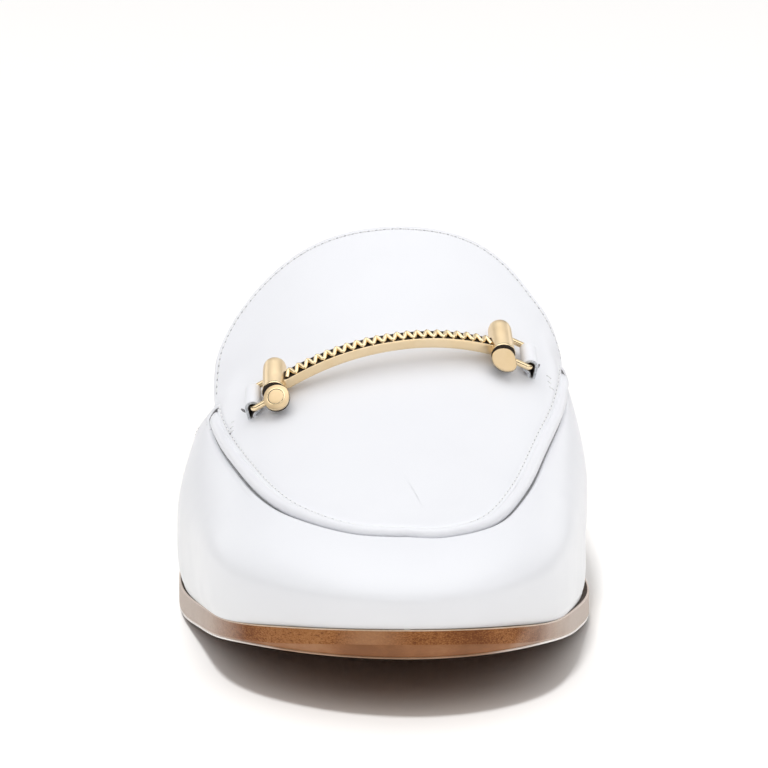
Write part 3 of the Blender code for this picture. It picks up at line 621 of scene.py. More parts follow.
def tongue_line():
    edge = np.array(TONGUE_EDGE, float)
    ends = []
    for side in (-1, 1):
        front, rear = side_line(side)
        ends.append(section(front[-1], seam_inset(front[-1], side), 0)[-1, :2])
    knots = np.vstack([ends[0], edge, ends[1]])
    knot = along(knots)
    line = cubic(knot, knots)(np.linspace(0, knot[-1], 401))
    reach = np.arange(-45, 46)
    weight = np.exp(-0.5 * (reach / TONGUE_EASE) ** 2)
    start, end = 2 * line[0] - line[45:0:-1], 2 * line[-1] - line[-2:-47:-1]
    padded = np.vstack([start, line, end])
    line = sum(w * padded[45 + k : 45 + k + 401] for w, k in zip(weight / weight.sum(), reach))
    marks = np.linspace(0, along(line)[-1], 2 * TONGUE_COUNT + 3)
    return np.column_stack([np.interp(marks, along(line), line[:, k]) for k in range(2)])


def build_flat_upper():
    """Plain outer surface, with each vertex's distance from the seam and from a free edge."""
    flat, seam_at, free_at, flank_at, faces, region = [], [], [], [], [], []

    def add(points, seam, free, flank):
        first = len(flat)
        flat.extend(points)
        seam_at.extend(np.broadcast_to(seam, len(points)))
        free_at.extend(np.broadcast_to(free, len(points)))
        flank_at.extend(np.broadcast_to(flank, len(points)))
        return list(range(first, len(flat)))

    wall, topline = {}, {}
    for side in (-1, 1):
        front, rear = side_line(side)
        for k, index in enumerate(front):
            if side > 0 and k == 0:
                wall[side, 0] = wall[-1, 0]
                continue
            line = section(index, seam_inset(index, side), 0)
            length = along(line)[-1]
            tail = np.array(VAMP_TAIL)
            marks = np.concatenate([np.linspace(0, length - tail[-1], VAMP_ROWS + 1)[:-1], length - tail[::-1]])
            flank = float(smoothstep(k / SEAM_COUNT, 0.25, 0.7))
            distance = marks - length
            wall[side, k] = add(at_marks(line, marks), distance, 99.0, flank)
        height = flat[wall[side, SEAM_COUNT][-1]][2] - FEATHER_Z[front[-1]]
        first, last = EDGE[front[-1], 1], EDGE[rear[-1], 1]
        for k, index in enumerate(rear):
            share = (EDGE[index, 1] - first) / (last - first)
            line = topline_cut(index, height * float(topline_share(share)))
            length = along(line)[-1]
            blend = float(smoothstep(k + 1, 0, 6))
            slope = 1.35
            tail = np.array(VAMP_TAIL) * (1 - blend) + np.array(REAR_TAIL) * slope * blend
            tail = tail * min(1.0, length / 9.0)
            marks = np.concatenate([np.linspace(0, length - tail[-1], VAMP_ROWS + 1)[:-1], length - tail[::-1]])
            free = (length - marks) / slope / max(min(1.0, length / 9.0), 1e-6)
            wall[side, SEAM_COUNT + 1 + k] = add(at_marks(line, marks), -99.0, free + (1 - blend) * 1.2, 1.0)
        for k in range(SEAM_COUNT + REAR_COUNT):
            here, there = wall[side, k], wall[side, k + 1]
            for a, b, c, d in zip(here, here[1:], there[1:], there):
                faces.append((d, c, b, a) if side > 0 else (a, b, c, d))
                region.append(0)

    tongue = tongue_line()
    rim = {}
    for side in (-1, 1):
        for k in range(SEAM_COUNT + 1):
            rim[side, k] = np.array(flat[wall[side, k][-1]][:2])
        points = tongue if side < 0 else tongue[::-1]
        for m in range(1, TONGUE_COUNT + 2):
            rim[side, SEAM_COUNT + m] = points[m]
    last = SEAM_COUNT + TONGUE_COUNT + 1
    heights = np.array([(rim[-1, k][1] + rim[1, k][1]) / 2 for k in range(last + 1)])
    back = 44 + 12 * np.log1p(np.exp((heights - 44) / 12))
    limit = heights[-1] - 9
    back = limit - 4 * np.log1p(np.exp((limit - back) / 4))
    back = np.maximum.accumulate(back + np.arange(last + 1) * 0.004)
    spine_xy = np.column_stack([ridge_x(back), back])
    spine_z = top_z(spine_xy[:, 0], spine_xy[:, 1])
    spine = add(np.column_stack([spine_xy, spine_z]), 99.0, 99.0, 0.0)

    apron = {}
    u = np.linspace(0, 1, 70)[:, None] ** 1.25
    for side in (-1, 1):
        edge_line = np.array([rim[side, k] for k in range(last + 1)])
        edge_way = tangents(edge_line)
        if side > 0:
            edge_way[-1] = -edge_way[-1]
        inward = np.column_stack([edge_way[:, 1], -edge_way[:, 0]]) * (1 if side < 0 else -1)
        inward[0] = (0.0, 1.0)
        inward[-1] = (0.0, -1.0)
        plans, keys = [], []
        for k in range(last + 1):
            if side > 0 and k in (0, last):
                apron[side, k] = apron[-1, k]
                continue
            start, goal = edge_line[k], spine_xy[k]
            span = np.linalg.norm(goal - start)
            toward = (goal - start) / span
            way = inward[k] if inward[k] @ toward > 0 else toward
            knee = start + way * min(0.42 * span, 9.0)
            plans.append((1 - u) ** 2 * start + 2 * u * (1 - u) * knee + u**2 * goal)
            keys.append(k)
        stack = np.array(plans)
        z = top_z(stack[..., 0], stack[..., 1])
        for plan, height, k in zip(stack, z, keys):
            line = np.column_stack([plan, height])
            length = along(line)[-1]
            on_seam = k <= SEAM_COUNT
            blend = 0.0 if on_seam else float(smoothstep(k - SEAM_COUNT, 0, 4))
            head = np.array(APRON_HEAD) * (1 - blend) + np.array(FREE_HEAD) * blend
            squeeze = min(1.0, length * 0.6 / head[-1])
            marks = np.concatenate([head * squeeze, np.linspace(head[-1] * squeeze, length, APRON_EVEN + 1)[1:-1]])
            points = at_marks(line, marks)
            seam = marks if on_seam else np.full(len(marks), 99.0)
            free = np.full(len(marks), 99.0) if on_seam else marks / squeeze + (1 - blend) * 1.2
            if on_seam:
                column = [wall[side, k][-1]] + add(points[1:], seam[1:], free[1:], 0.0)
            else:
                column = add(points, seam, free, 0.0)
            apron[side, k] = column + [spine[k]]
        for k in range(last):
            here, there = apron[side, k], apron[side, k + 1]
            for a, b, c, d in zip(here, here[1:], there[1:], there):
                faces.append((d, c, b, a) if side > 0 else (a, b, c, d))
                region.append(1)
    return {
        "flat": np.array(flat),
        "seam": np.array(seam_at),
        "free": np.array(free_at),
        "flank": np.array(flank_at),
        "faces": [tuple(dict.fromkeys(f)) for f in faces],
        "region": region,
        "wall": wall,
        "apron": apron,
        "last": last,
    }


def vertex_normals(points, faces):
    normal = np.zeros_like(points)
    for face in faces:
        corners = points[list(face)]
        flat = np.cross(corners[1] - corners[0], corners[2] - corners[0])
        if len(face) == 4:
            flat = flat + np.cross(corners[2] - corners[0], corners[3] - corners[0])
        for i in face:
            normal[i] += flat
    return unit(normal)


UPPER = build_flat_upper()
flat, faces = UPPER["flat"], [f for f in UPPER["faces"] if len(f) > 2]
kinds = [r for f, r in zip(UPPER["faces"], UPPER["region"]) if len(f) > 2]
normals = vertex_normals(flat, faces)
# The apron lies on one smooth surface, so its directions are taken from that surface.
on_apron = sorted({i for key, column in UPPER["apron"].items() for i in column[2:]})
normals[on_apron] = surface_normal(flat[on_apron, 0], flat[on_apron, 1])
front_last = UPPER["wall"][-1, SEAM_COUNT]
# The bead's groove runs out just before each end of the seam.
along_seam = np.ones(len(flat))
for side in (-1, 1):
    for k in range(SEAM_COUNT + 1):
        stop = SEAM_COUNT - BEAD_TRIM[0 if side < 0 else 1]
        fade = 1 - float(smoothstep(k, stop - 2, stop + 3))
        for i in UPPER["wall"][side, k][-len(VAMP_TAIL) :] + UPPER["apron"][side, k][: len(APRON_HEAD)]:
            along_seam[i] = fade
shown = np.abs(UPPER["seam"]) < 50
depth = np.where(shown, dip(np.where(shown, UPPER["seam"], 0), UPPER["flank"]), 0.0) * along_seam
free = np.clip(UPPER["free"], 0, None)
rim_drop = np.where(free < RIM, RIM - np.sqrt(np.clip(RIM**2 - (RIM - free) ** 2, 0, None)), 0.0)
# A shallow furrow under the stitches of the tongue's and topline's edges.
rim_drop = rim_drop + 0.07 * np.exp(-(((free - 1.45) / 0.3) ** 2)) * (free < 50)
outer = flat + normals * (depth - rim_drop)[:, None]
inner = flat - normals * (WALL - np.minimum(rim_drop, RIM))[:, None]
UPPER["outer"], UPPER["normals"] = outer, normals
# At the ball's sides the leather's foot spreads a little over the sole's ledge.
for side in (-1, 1):
    for k in range(SEAM_COUNT + REAR_COUNT + 1):
        column = UPPER["wall"][side, k]
        rise = along(flat[column])
        y_here = flat[column[0], 1]
        share = float(smoothstep(y_here, 9, 34) * (1 - smoothstep(y_here, 96, 134)))
        spread = (0.95 if side < 0 else 1.25) * share * (1 - smoothstep(rise, 0.5, 13.0))
        way = normals[column] * (1, 1, 0)
        outer[column] += unit(way) * spread[:, None]
# The wall's foot goes on down to the sole.
for side in (-1, 1):
    for k in range(SEAM_COUNT + REAR_COUNT + 1):
        foot = UPPER["wall"][side, k][0]
        outer[foot, 2] -= GAP
        inner[foot, 2] -= GAP


def open_edges(faces):
    seen = {}
    for face in faces:
        for a, b in zip(face, face[1:] + face[:1]):
            key = (min(a, b), max(a, b))
            seen[key] = None if key in seen else (a, b)
    return [pair for pair in seen.values() if pair]


shell = Cage()
outer_ids = shell.add(outer)
inner_ids = shell.add(inner)
for face, kind in zip(faces, kinds):
    seam_at = float(np.mean(UPPER["seam"][list(face)]))
    flank_at = float(np.mean(UPPER["flank"][list(face)]))
    reach_at = float(crevice_reach(seam_at, flank_at))
    # Faces in the crevice beside the bead take the grey crevice finish: painted shade where the bead overhangs the
    # leather.
    in_crevice_shade = abs(seam_at) < 50 and (kind == 0 and reach_at < 1.6 or kind == 1 and seam_at < 0.9) and min(along_seam[i] for i in face) > 0.6
    shell.face(face, 2 if in_crevice_shade else 0)
    shell.face([i + len(flat) for i in reversed(face)], 1)
for a, b in open_edges(faces):
    both_rim = free[a] < 0.4 and free[b] < 0.4
    shell.face((b, a, a + len(flat), b + len(flat)), 0)


# ---------------------------------------------------------------- finishes
def new_finish(name, roughness=0.5, metallic=0.0, color=(0.8, 0.8, 0.8)):
    made = bpy.data.materials.new(name)
    made.use_nodes = True
    tree = made.node_tree
    shader = tree.nodes["Principled BSDF"]
    shader.inputs["Base Color"].default_value = (*color, 1)
    shader.inputs["Roughness"].default_value = roughness
    shader.inputs["Metallic"].default_value = metallic
    made.diffuse_color = (*color, 1)
    return made, tree, shader


def node(tree, kind, **values):
    made = tree.nodes.new(kind)
    for key, value in values.items():
        if key in made.inputs:
            made.inputs[key].default_value = value
        else:
            setattr(made, key, value)
    return made


def coordinates(tree, scale=(1, 1, 1)):
    place = node(tree, "ShaderNodeTexCoord")
    mapping = node(tree, "ShaderNodeMapping")
    mapping.inputs["Scale"].default_value = scale
    tree.links.new(place.outputs["Object"], mapping.inputs["Vector"])
    return mapping.outputs["Vector"], place.outputs["Object"]


def noise(tree, vector, scale, detail=3.0, roughness=0.55):
    made = node(tree, "ShaderNodeTexNoise")
    made.inputs["Scale"].default_value = scale
    made.inputs["Detail"].default_value = detail
    made.inputs["Roughness"].default_value = roughness
    tree.links.new(vector, made.inputs["Vector"])
    return made.outputs["Fac"]


def cells(tree, vector, scale, feature="F1"):
    made = node(tree, "ShaderNodeTexVoronoi")
    made.feature = feature
    made.inputs["Scale"].default_value = scale
    tree.links.new(vector, made.inputs["Vector"])
    return made.outputs["Distance"]


def ramp(tree, value, stops):
    made = node(tree, "ShaderNodeValToRGB")
    elements = made.color_ramp.elements
    while len(elements) < len(stops):
        elements.new(0.5)
    for element, (place, color) in zip(elements, stops):
        element.position = place
        element.color = (*color, 1) if len(color) == 3 else color
    tree.links.new(value, made.inputs["Fac"])
    return made.outputs["Color"]


def mix(tree, share, one, two, kind="MIX"):
    made = node(tree, "ShaderNodeMix")
    made.data_type = "RGBA"
    made.blend_type = kind
    for socket, value in ((made.inputs["Factor"], share), (made.inputs["A"], one), (made.inputs["B"], two)):
        pass
    factor = [s for s in made.inputs if s.name == "Factor" and s.type == "VALUE"][0]
    a = [s for s in made.inputs if s.name == "A" and s.type == "RGBA"][0]
    b = [s for s in made.inputs if s.name == "B" and s.type == "RGBA"][0]
    out = [s for s in made.outputs if s.type == "RGBA"][0]
    for socket, value in ((factor, share), (a, one), (b, two)):
        if isinstance(value, bpy.types.NodeSocket):
            tree.links.new(value, socket)
        elif isinstance(value, (int, float)):
            socket.default_value = value
        else:
            socket.default_value = (*value, 1)
    return out


def scaled(tree, value, low_in, high_in, low_out, high_out):
    made = node(tree, "ShaderNodeMapRange")
    for name, number in (("From Min", low_in), ("From Max", high_in), ("To Min", low_out), ("To Max", high_out)):
        made.inputs[name].default_value = number
    tree.links.new(value, made.inputs["Value"])
    return made.outputs["Result"]


def summed(tree, *terms):
    """Sum of (output, weight) pairs."""
    total = None
    for value, weight in terms:
        product = node(tree, "ShaderNodeMath", operation="MULTIPLY")
        tree.links.new(value, product.inputs[0])
        product.inputs[1].default_value = weight
        if total is None:
            total = product.outputs[0]
        else:
            both = node(tree, "ShaderNodeMath", operation="ADD")
            tree.links.new(total, both.inputs[0])
            tree.links.new(product.outputs[0], both.inputs[1])
            total = both.outputs[0]
    return total


def bumped(tree, shader, height, strength, distance):
    made = node(tree, "ShaderNodeBump")
    made.inputs["Strength"].default_value = strength
    made.inputs["Distance"].default_value = distance
    tree.links.new(height, made.inputs["Height"])
    tree.links.new(made.outputs["Normal"], shader.inputs["Normal"])


def leather(name, base, shade, roughness, grain=0.25, grain_size=2600.0, low_shade=None):
    """Smooth dressed leather: faint mottling, fine pores and soft satin gloss. Where low_shade is given, painted shade
    darkens it towards the floor.
    """
    made, tree, shader = new_finish(name, roughness, 0.0, base)
    vector, place = coordinates(tree)
    broad = noise(tree, vector, 34.0, 2.0)
    color = mix(tree, scaled(tree, broad, 0.35, 0.65, 0.0, 1.0), base, shade)
    # Painted shade: the colour is multiplied darker and a little greener low down, towards the floor.
    if low_shade is not None:
        split = node(tree, "ShaderNodeSeparateXYZ")
        tree.links.new(place, split.inputs[0])
        color = mix(tree, scaled(tree, split.outputs["Z"], 0.034, 0.006, 0.0, 1.0), color, low_shade, "MULTIPLY")
    tree.links.new(color, shader.inputs["Base Color"])
    pores = cells(tree, vector, grain_size)
    fine = noise(tree, vector, grain_size * 1.6, 2.0)
    wide = noise(tree, vector, 160.0, 2.0)
    tree.links.new(scaled(tree, wide, 0.3, 0.7, roughness - 0.05, roughness + 0.06), shader.inputs["Roughness"])
    bumped(tree, shader, summed(tree, (pores, 0.6), (fine, 0.4), (wide, 0.8)), grain, 0.00008)
    shader.inputs["Specular IOR Level"].default_value = 0.5
    return made


# White calf, with painted shade towards the floor.
WHITE = leather("white_calf", (0.792, 0.799, 0.832), (0.775, 0.782, 0.816), 0.36, 0.16, low_shade=(0.90, 0.91, 0.885))
LINING = leather("lining_leather", (0.74, 0.70, 0.63), (0.71, 0.67, 0.60), 0.55, 0.3)
SOCK = leather("sock_calf", (0.66, 0.54, 0.40), (0.62, 0.50, 0.36), 0.5, 0.35, 2200.0)


def matte(name, one, two, roughness, size, strength=0.4, depth=0.00006, metallic=0.0):
    """Two-tone mottled finish with a fine grain."""
    made, tree, shader = new_finish(name, roughness, metallic, one)
    vector, _ = coordinates(tree)
    grain = noise(tree, vector, size, 3.0)
    tree.links.new(ramp(tree, grain, ((0.38, one), (0.62, two))), shader.inputs["Base Color"])
    tree.links.new(scaled(tree, grain, 0.3, 0.7, roughness - 0.06, roughness + 0.08), shader.inputs["Roughness"])
    bumped(tree, shader, grain, strength, depth)
    return made


# Grey of the crevice beside the bead: painted shade.
CREVICE_SHADE = matte("bead_crevice_painted_shade", (0.40, 0.405, 0.41), (0.58, 0.585, 0.59), 0.7, 1500.0)
THREAD = matte("white_thread", (0.76, 0.76, 0.76), (0.84, 0.84, 0.85), 0.6, 4200.0)
# Near black in the hoods' creases and the tabs' slits: painted shadow.
SEAM_SHADOW = matte("seam_painted_shadow", (0.13, 0.13, 0.135), (0.24, 0.24, 0.245), 0.8, 1800.0)
# Grey discs at the stitches: painted shade of the needle holes.
NEEDLE_HOLE_SHADE = matte("needle_hole_painted_shade", (0.36, 0.365, 0.38), (0.52, 0.525, 0.54), 0.8, 1500.0)
CUT_EDGE = matte("cut_edge", (0.38, 0.40, 0.42), (0.64, 0.66, 0.69), 0.8, 1800.0, 0.6, 0.0001)
# Near black inside the tabs' loops: painted shadow.
LOOP_SHADOW = matte("tab_loop_painted_shadow", (0.018, 0.013, 0.01), (0.04, 0.028, 0.02), 0.85, 1500.0)


def sole_finish(name, dark, mid, light, speck, roughness, side=None, coat=0.0, patches=(0.45, 0.38, 0.17), low=0.60, span=(0.0295, 0.041), gloss=0.18, highlight_patch=None):
    """Stained leather edge: fine mottling, small flecks and lighter scuffed patches.

    side is the colour the finish turns to out at the ball's sides: a paler painted sheen and highlight on the edge,
    bevel and rim, and darker on the ledge, partly stain and partly painted shade. highlight_patch, where given, is a
    painted highlight just lateral of the toe's middle."""
    made, tree, shader = new_finish(name, roughness, 0.0, mid)
    vector, place = coordinates(tree)
    flat_vector, _ = coordinates(tree, (1.0, 1.0, 2.4))
    patch = noise(tree, vector, 70.0, 3.0, 0.6)
    fleck = noise(tree, flat_vector, 950.0, 4.0, 0.7)
    fibre = noise(tree, flat_vector, 2600.0, 3.0, 0.6)
    color = ramp(tree, summed(tree, (patch, patches[0]), (fleck, patches[1]), (fibre, patches[2])), ((0.38, dark), (0.5, mid), (0.63, light)))
    color = mix(tree, ramp(tree, fleck, ((low, (0, 0, 0)), (low + 0.1, (1, 1, 1)))), color, speck)
    if side is not None:
        # Painted light by position: the colour turns to side out at the ball's sides.
        split = node(tree, "ShaderNodeSeparateXYZ")
        tree.links.new(place, split.inputs[0])
        across = node(tree, "ShaderNodeMath", operation="ABSOLUTE")
        tree.links.new(split.outputs["X"], across.inputs[0])
        side_mask = summed(tree, (across.outputs[0], 1.0), (patch, 0.008))
        if highlight_patch is not None:
            # A painted highlight just to the lateral side of the toe's middle.
            near = node(tree, "ShaderNodeMath", operation="ADD")
            tree.links.new(split.outputs["X"], near.inputs[0])
            near.inputs[1].default_value = 0.0025
            off = node(tree, "ShaderNodeMath", operation="ABSOLUTE")
            tree.links.new(near.outputs[0], off.inputs[0])
            highlight_mask = summed(tree, (off.outputs[0], 1.0), (patch, 0.012))
            color = mix(tree, scaled(tree, highlight_mask, 0.006, 0.0145, 0.55, 0.0), color, highlight_patch)
        color = mix(tree, scaled(tree, side_mask, *span, 0.0, 1.0), color, side)
    tree.links.new(color, shader.inputs["Base Color"])
    tree.links.new(scaled(tree, fleck, 0.3, 0.7, roughness - 0.08, roughness + 0.12), shader.inputs["Roughness"])
    shader.inputs["Specular IOR Level"].default_value = gloss
    shader.inputs["Coat Weight"].default_value = coat
    shader.inputs["Coat Roughness"].default_value = 0.3
    bumped(tree, shader, summed(tree, (fleck, 0.6), (fibre, 0.4)), 0.3, 0.00008)
    return made


# Brown stain of the edge; it turns pale beige out at the ball's sides as painted sheen, and carries a painted
# highlight just lateral of the toe's middle.
SOLE_EDGE = sole_finish(
    "sole_edge", (0.13, 0.038, 0.008), (0.235, 0.083, 0.021), (0.36, 0.155, 0.052), (0.12, 0.036, 0.009), 0.55, (0.50, 0.42, 0.365),
    patches=(0.50, -0.22, 0.72), low=0.575, span=(0.0305, 0.0425), highlight_patch=(0.44, 0.23, 0.115),
)
# Bevel: a little paler than the edge because it faces down, away from the light, so partly painted light; paler still
# at the ball's sides as painted sheen.
SOLE_BEVEL = sole_finish("sole_bevel", (0.20, 0.08, 0.03), (0.27, 0.115, 0.046), (0.34, 0.165, 0.078), (0.23, 0.09, 0.035), 0.5, (0.62, 0.52, 0.45), patches=(0.7, 0.2, 0.1), low=0.66)
# Lower rim of the sole: a light line, nearly white at the ball's sides: painted highlight.
SOLE_RIM_HIGHLIGHT = sole_finish("sole_rim_painted_highlight", (0.30, 0.18, 0.11), (0.38, 0.24, 0.155), (0.46, 0.31, 0.21), (0.30, 0.18, 0.11), 0.45, (0.95, 0.93, 0.90), patches=(0.7, 0.2, 0.1), low=0.68, span=(0.024, 0.036), gloss=0.4)
# Rounded top corner of the sole edge in light tan: painted highlight along the line where the upper meets the sole.
SOLE_LIP_HIGHLIGHT = sole_finish("sole_lip_painted_highlight", (0.46, 0.32, 0.21), (0.58, 0.44, 0.32), (0.68, 0.55, 0.43), (0.42, 0.28, 0.16), 0.5, (0.66, 0.56, 0.50), low=0.68)
# Ledge: light tan in front, painted light that lifts the shade in the crevice under the upper's foot; out at the
# ball's sides near black, partly dark stain and partly painted shade in that crevice.
SOLE_LEDGE = sole_finish("sole_ledge", (0.50, 0.40, 0.31), (0.60, 0.50, 0.40), (0.70, 0.60, 0.50), (0.45, 0.33, 0.22), 0.6, (0.055, 0.038, 0.027), span=(0.0325, 0.0365))
SOLE_BASE = sole_finish("sole_base", (0.10, 0.045, 0.022), (0.14, 0.066, 0.033), (0.19, 0.095, 0.052), (0.09, 0.04, 0.02), 0.5)
STACK = sole_finish("heel_layers_leather", (0.15, 0.055, 0.02), (0.24, 0.10, 0.04), (0.34, 0.17, 0.08), (0.13, 0.05, 0.02), 0.45)
LIFT = matte("heel_rubber", (0.022, 0.018, 0.016), (0.04, 0.035, 0.032), 0.62, 1500.0, 0.4, 0.0001)


def metal(name, one, two, low, high, strength=0.12):
    """Plated metal: slight cloudiness of colour and gloss."""
    made, tree, shader = new_finish(name, low, 1.0, one)
    vector, _ = coordinates(tree)
    cloud = noise(tree, vector, 260.0, 3.0)
    tree.links.new(ramp(tree, cloud, ((0.35, one), (0.65, two))), shader.inputs["Base Color"])
    tree.links.new(scaled(tree, cloud, 0.3, 0.7, low, high), shader.inputs["Roughness"])
    bumped(tree, shader, noise(tree, vector, 900.0, 2.0), strength, 0.00005)
    return made


CAP_GOLD = metal("cap_gold", (0.70, 0.53, 0.315), (0.76, 0.59, 0.37), 0.42, 0.55, 0.3)
GOLD = metal("pale_gold", (0.84, 0.66, 0.40), (0.88, 0.71, 0.46), 0.16, 0.26)
SATIN_GOLD = metal("satin_gold", (0.86, 0.67, 0.415), (0.90, 0.72, 0.47), 0.32, 0.42)
# Near black on the metal's necks, button backs and bar channel: painted shade.
RECESS_SHADE = matte("gold_recess_painted_shade", (0.012, 0.007, 0.004), (0.035, 0.02, 0.012), 0.65, 1800.0, 0.3, 0.00005)
upper_obj = shell.piece("upper_shell", [WHITE, LINING, CREVICE_SHADE], slot="white_leather", replaces=("upper",), sharp=55)


# ---------------------------------------------------------------- bead round the apron
def seam_path(trims):
    """Plain seam line from the lateral end round the toe to the medial end, with its normals."""
    ids = [UPPER["wall"][-1, k][-1] for k in range(SEAM_COUNT - trims[0], 0, -1)]
    ids += [UPPER["wall"][1, k][-1] for k in range(0, SEAM_COUNT + 1 - trims[1])]
    return flat[ids], normals[ids]


path, up = seam_path(BEAD_TRIM)
path, up = resampled(path, None, 0.8, up)
reach = along(path)
from_end = np.minimum(reach, reach[-1] - reach)
lift = -0.36
dive = 0.5 * (1 - smoothstep(from_end, 0, 2.4))
size = BEAD_RADIUS * (1 - 0.12 * (1 - smoothstep(from_end, 0, 3.0)))
wander = 0.03 * np.sin(reach / 7.3) + 0.02 * np.sin(reach / 3.1 + 1.3)
centre = path + unit(up) * (lift - dive + wander)[:, None]
rings = tube_rings(centre, unit(up), size * (1 + 0.5 * wander), steps=24, wide=1.0)
bead = Cage()
way = tangents(centre)


def round_end(ring, middle, out, radius):
    """Rings that close a tube with a rounded nose."""
    made = []
    for angle in (20, 42, 62, 80):
        turn = math.radians(angle)
        made.append(middle + (ring - middle) * math.cos(turn) + out * radius * math.sin(turn))
    return made


noses = [round_end(rings[0], centre[0], -way[0], size[0])[::-1], round_end(rings[-1], centre[-1], way[-1], size[-1])]
bead.sweep(list(noses[0]) + list(rings) + list(noses[1]))
bead.piece("apron_bead", [WHITE], slot="white_leather", replaces=("apron_piping",), sharp=None, outward=True)


# Binding that hoods each end of the bead, with thin dark tubes along it: painted shadow in the creases beside the
# binding.
def on_upper(side, station_at, across_at):
    """Place and normal on the upper by seam station and distance in from the seam."""
    found = []
    for k in (int(math.floor(station_at)), int(math.floor(station_at)) + 1):
        if across_at >= 0:
            ids = UPPER["apron"][side, k][:-1]
            marks = UPPER["seam"][ids] if k <= SEAM_COUNT else UPPER["free"][ids]
            marks = np.where(np.arange(len(ids)) == 0, 0.0, marks)
        else:
            ids = UPPER["wall"][side, k][::-1][: len(VAMP_TAIL) + 6]
            marks = -UPPER["seam"][ids] if k <= SEAM_COUNT else along(flat[ids])
        spot = abs(across_at)
        found.append([np.array([np.interp(spot, marks, rows[ids][:, j]) for j in range(3)]) for rows in (flat, normals)])
    share = station_at - math.floor(station_at)
    place = found[0][0] * (1 - share) + found[1][0] * share
    return place, unit(found[0][1] * (1 - share) + found[1][1] * share)


def eased_path(rows, count):
    """Smooth curve through a few rows."""
    rows = np.asarray(rows, float)
    knot = np.arange(len(rows))
    return cubic(knot, rows)(np.linspace(0, len(rows) - 1, count))


HOOD_LINES = (  # stations past the bead's end and distance in from the seam
    ((0.2, 3.1), (1.4, 2.4), (2.2, 1.3), (2.5, 0.0), (2.1, -1.3), (0.9, -2.0), (-1.0, -2.2), (-4.0, -2.2)),
    ((0.2, 3.1), (1.2, 2.4), (1.9, 1.3), (2.2, 0.0), (1.9, -1.3), (0.8, -2.0), (-1.0, -2.2), (-4.0, -2.2)),
)
hood, shadow_line = Cage(), Cage()
for n, side in enumerate((-1, 1)):
    stop = SEAM_COUNT - BEAD_TRIM[n]
    line = eased_path(HOOD_LINES[n], 49)
    spots = [on_upper(side, stop + s, d) for s, d in line]
    place, normal = np.array([p for p, _ in spots]), np.array([u for _, u in spots])
    t = np.linspace(0, 1, len(line))
    bulk = smoothstep(t, 0.06, 0.34) * (1 - smoothstep(t, 0.6, 1.0))
    hood.sweep(tube_rings(place + normal * (-0.5 + 0.44 * bulk)[:, None], normal, 0.3 + 0.34 * bulk, steps=14, wide=1.15))
    side_way = unit(np.cross(tangents(place), normal))
    inner_way = side_way * np.sign(np.sum(side_way * (place.mean(axis=0) - place), axis=1).mean())
    bite = smoothstep(t, 0.12, 0.3) * (1 - smoothstep(t, 0.7, 0.95))
    shadow_line.sweep(tube_rings(place + inner_way * 0.78 + normal * (0.02 - 0.2 * (1 - bite))[:, None], normal, 0.05 + 0.17 * bite, steps=10))
    shadow_line.sweep(tube_rings(place - inner_way * 0.72 + normal * (-0.02 - 0.3 * (1 - bulk))[:, None], normal, 0.03 + 0.06 * bulk, steps=8))
hood.piece("bead_hoods", [WHITE], slot="white_leather", sharp=None, outward=True)
shadow_line.piece("hood_shadow_lines", [SEAM_SHADOW], slot="white_leather", sharp=None, outward=True)


def add_holes(cage, path, normals, pitch, long, wide, start=0.0, rise=0.035):
    """Small flat dark discs at even distances along a path: painted shade of needle holes."""
    path, normals = np.asarray(path, float), unit(normals)
    reach = along(path)
    count = int(reach[-1] // pitch)
    spare = reach[-1] - count * pitch
    way = tangents(path)
    for k in range(count + 1):
        mark = spare / 2 + (k + start) * pitch
        if mark > reach[-1]:
            break
        middle, normal, ahead = (np.array([np.interp(mark, reach, rows[:, j]) for j in range(3)]) for rows in (path, normals, way))
        side = unit(np.cross(ahead, normal))
        turn = np.linspace(0, 2 * math.pi, 8, endpoint=False)
        ring = middle + normal * rise + ahead * (np.cos(turn) * long / 2)[:, None] + side * (np.sin(turn) * wide / 2)[:, None]
        low = ring - normal * 0.25
        cage.sweep([low, ring])


# Stitches inside the bead, round the tongue and down the vamp's toplines.
def stitched(name, row, pitch, length, radius, sink, rise, hole_size):
    threads = Cage()
    add_stitches(threads, outer[row], normals[row], pitch, length, radius, sink=sink, rise=rise)
    threads.piece(name, [THREAD], slot="white_leather", sharp=None, outward=True)
    holes = Cage()
    add_holes(holes, outer[row], normals[row], pitch, *hole_size)
    holes.piece(name + "_holes", [NEEDLE_HOLE_SHADE], slot="white_leather", sharp=None, outward=True)


row = [UPPER["apron"][-1, k][STITCH_ROW] for k in range(SEAM_COUNT - 1, 0, -1)] + [UPPER["apron"][1, k][STITCH_ROW] for k in range(0, SEAM_COUNT)]
stitched("apron_stitches", row, 2.0, 1.45, 0.17, 0.16, 0.07, (0.62, 0.36))
last = UPPER["last"]
row = [UPPER["apron"][-1, k][STITCH_ROW] for k in range(SEAM_COUNT + 6, last)] + [UPPER["apron"][1, k][STITCH_ROW] for k in range(last - 1, SEAM_COUNT + 5, -1)]
stitched("tongue_stitches", row, 1.7, 1.1, 0.16, 0.12, 0.08, (0.6, 0.4))
row = [UPPER["wall"][-1, k][-TOPLINE_ROW] for k in range(SEAM_COUNT + 5, SEAM_COUNT + REAR_COUNT)]
stitched("topline_stitches_lateral", row, 2.0, 1.4, 0.17, 0.14, 0.08, (0.5, 0.34))
row = [UPPER["wall"][1, k][-TOPLINE_ROW] for k in range(SEAM_COUNT + 5, SEAM_COUNT + REAR_COUNT)]
stitched("topline_stitches_medial", row, 2.0, 1.4, 0.17, 0.14, 0.08, (0.5, 0.34))


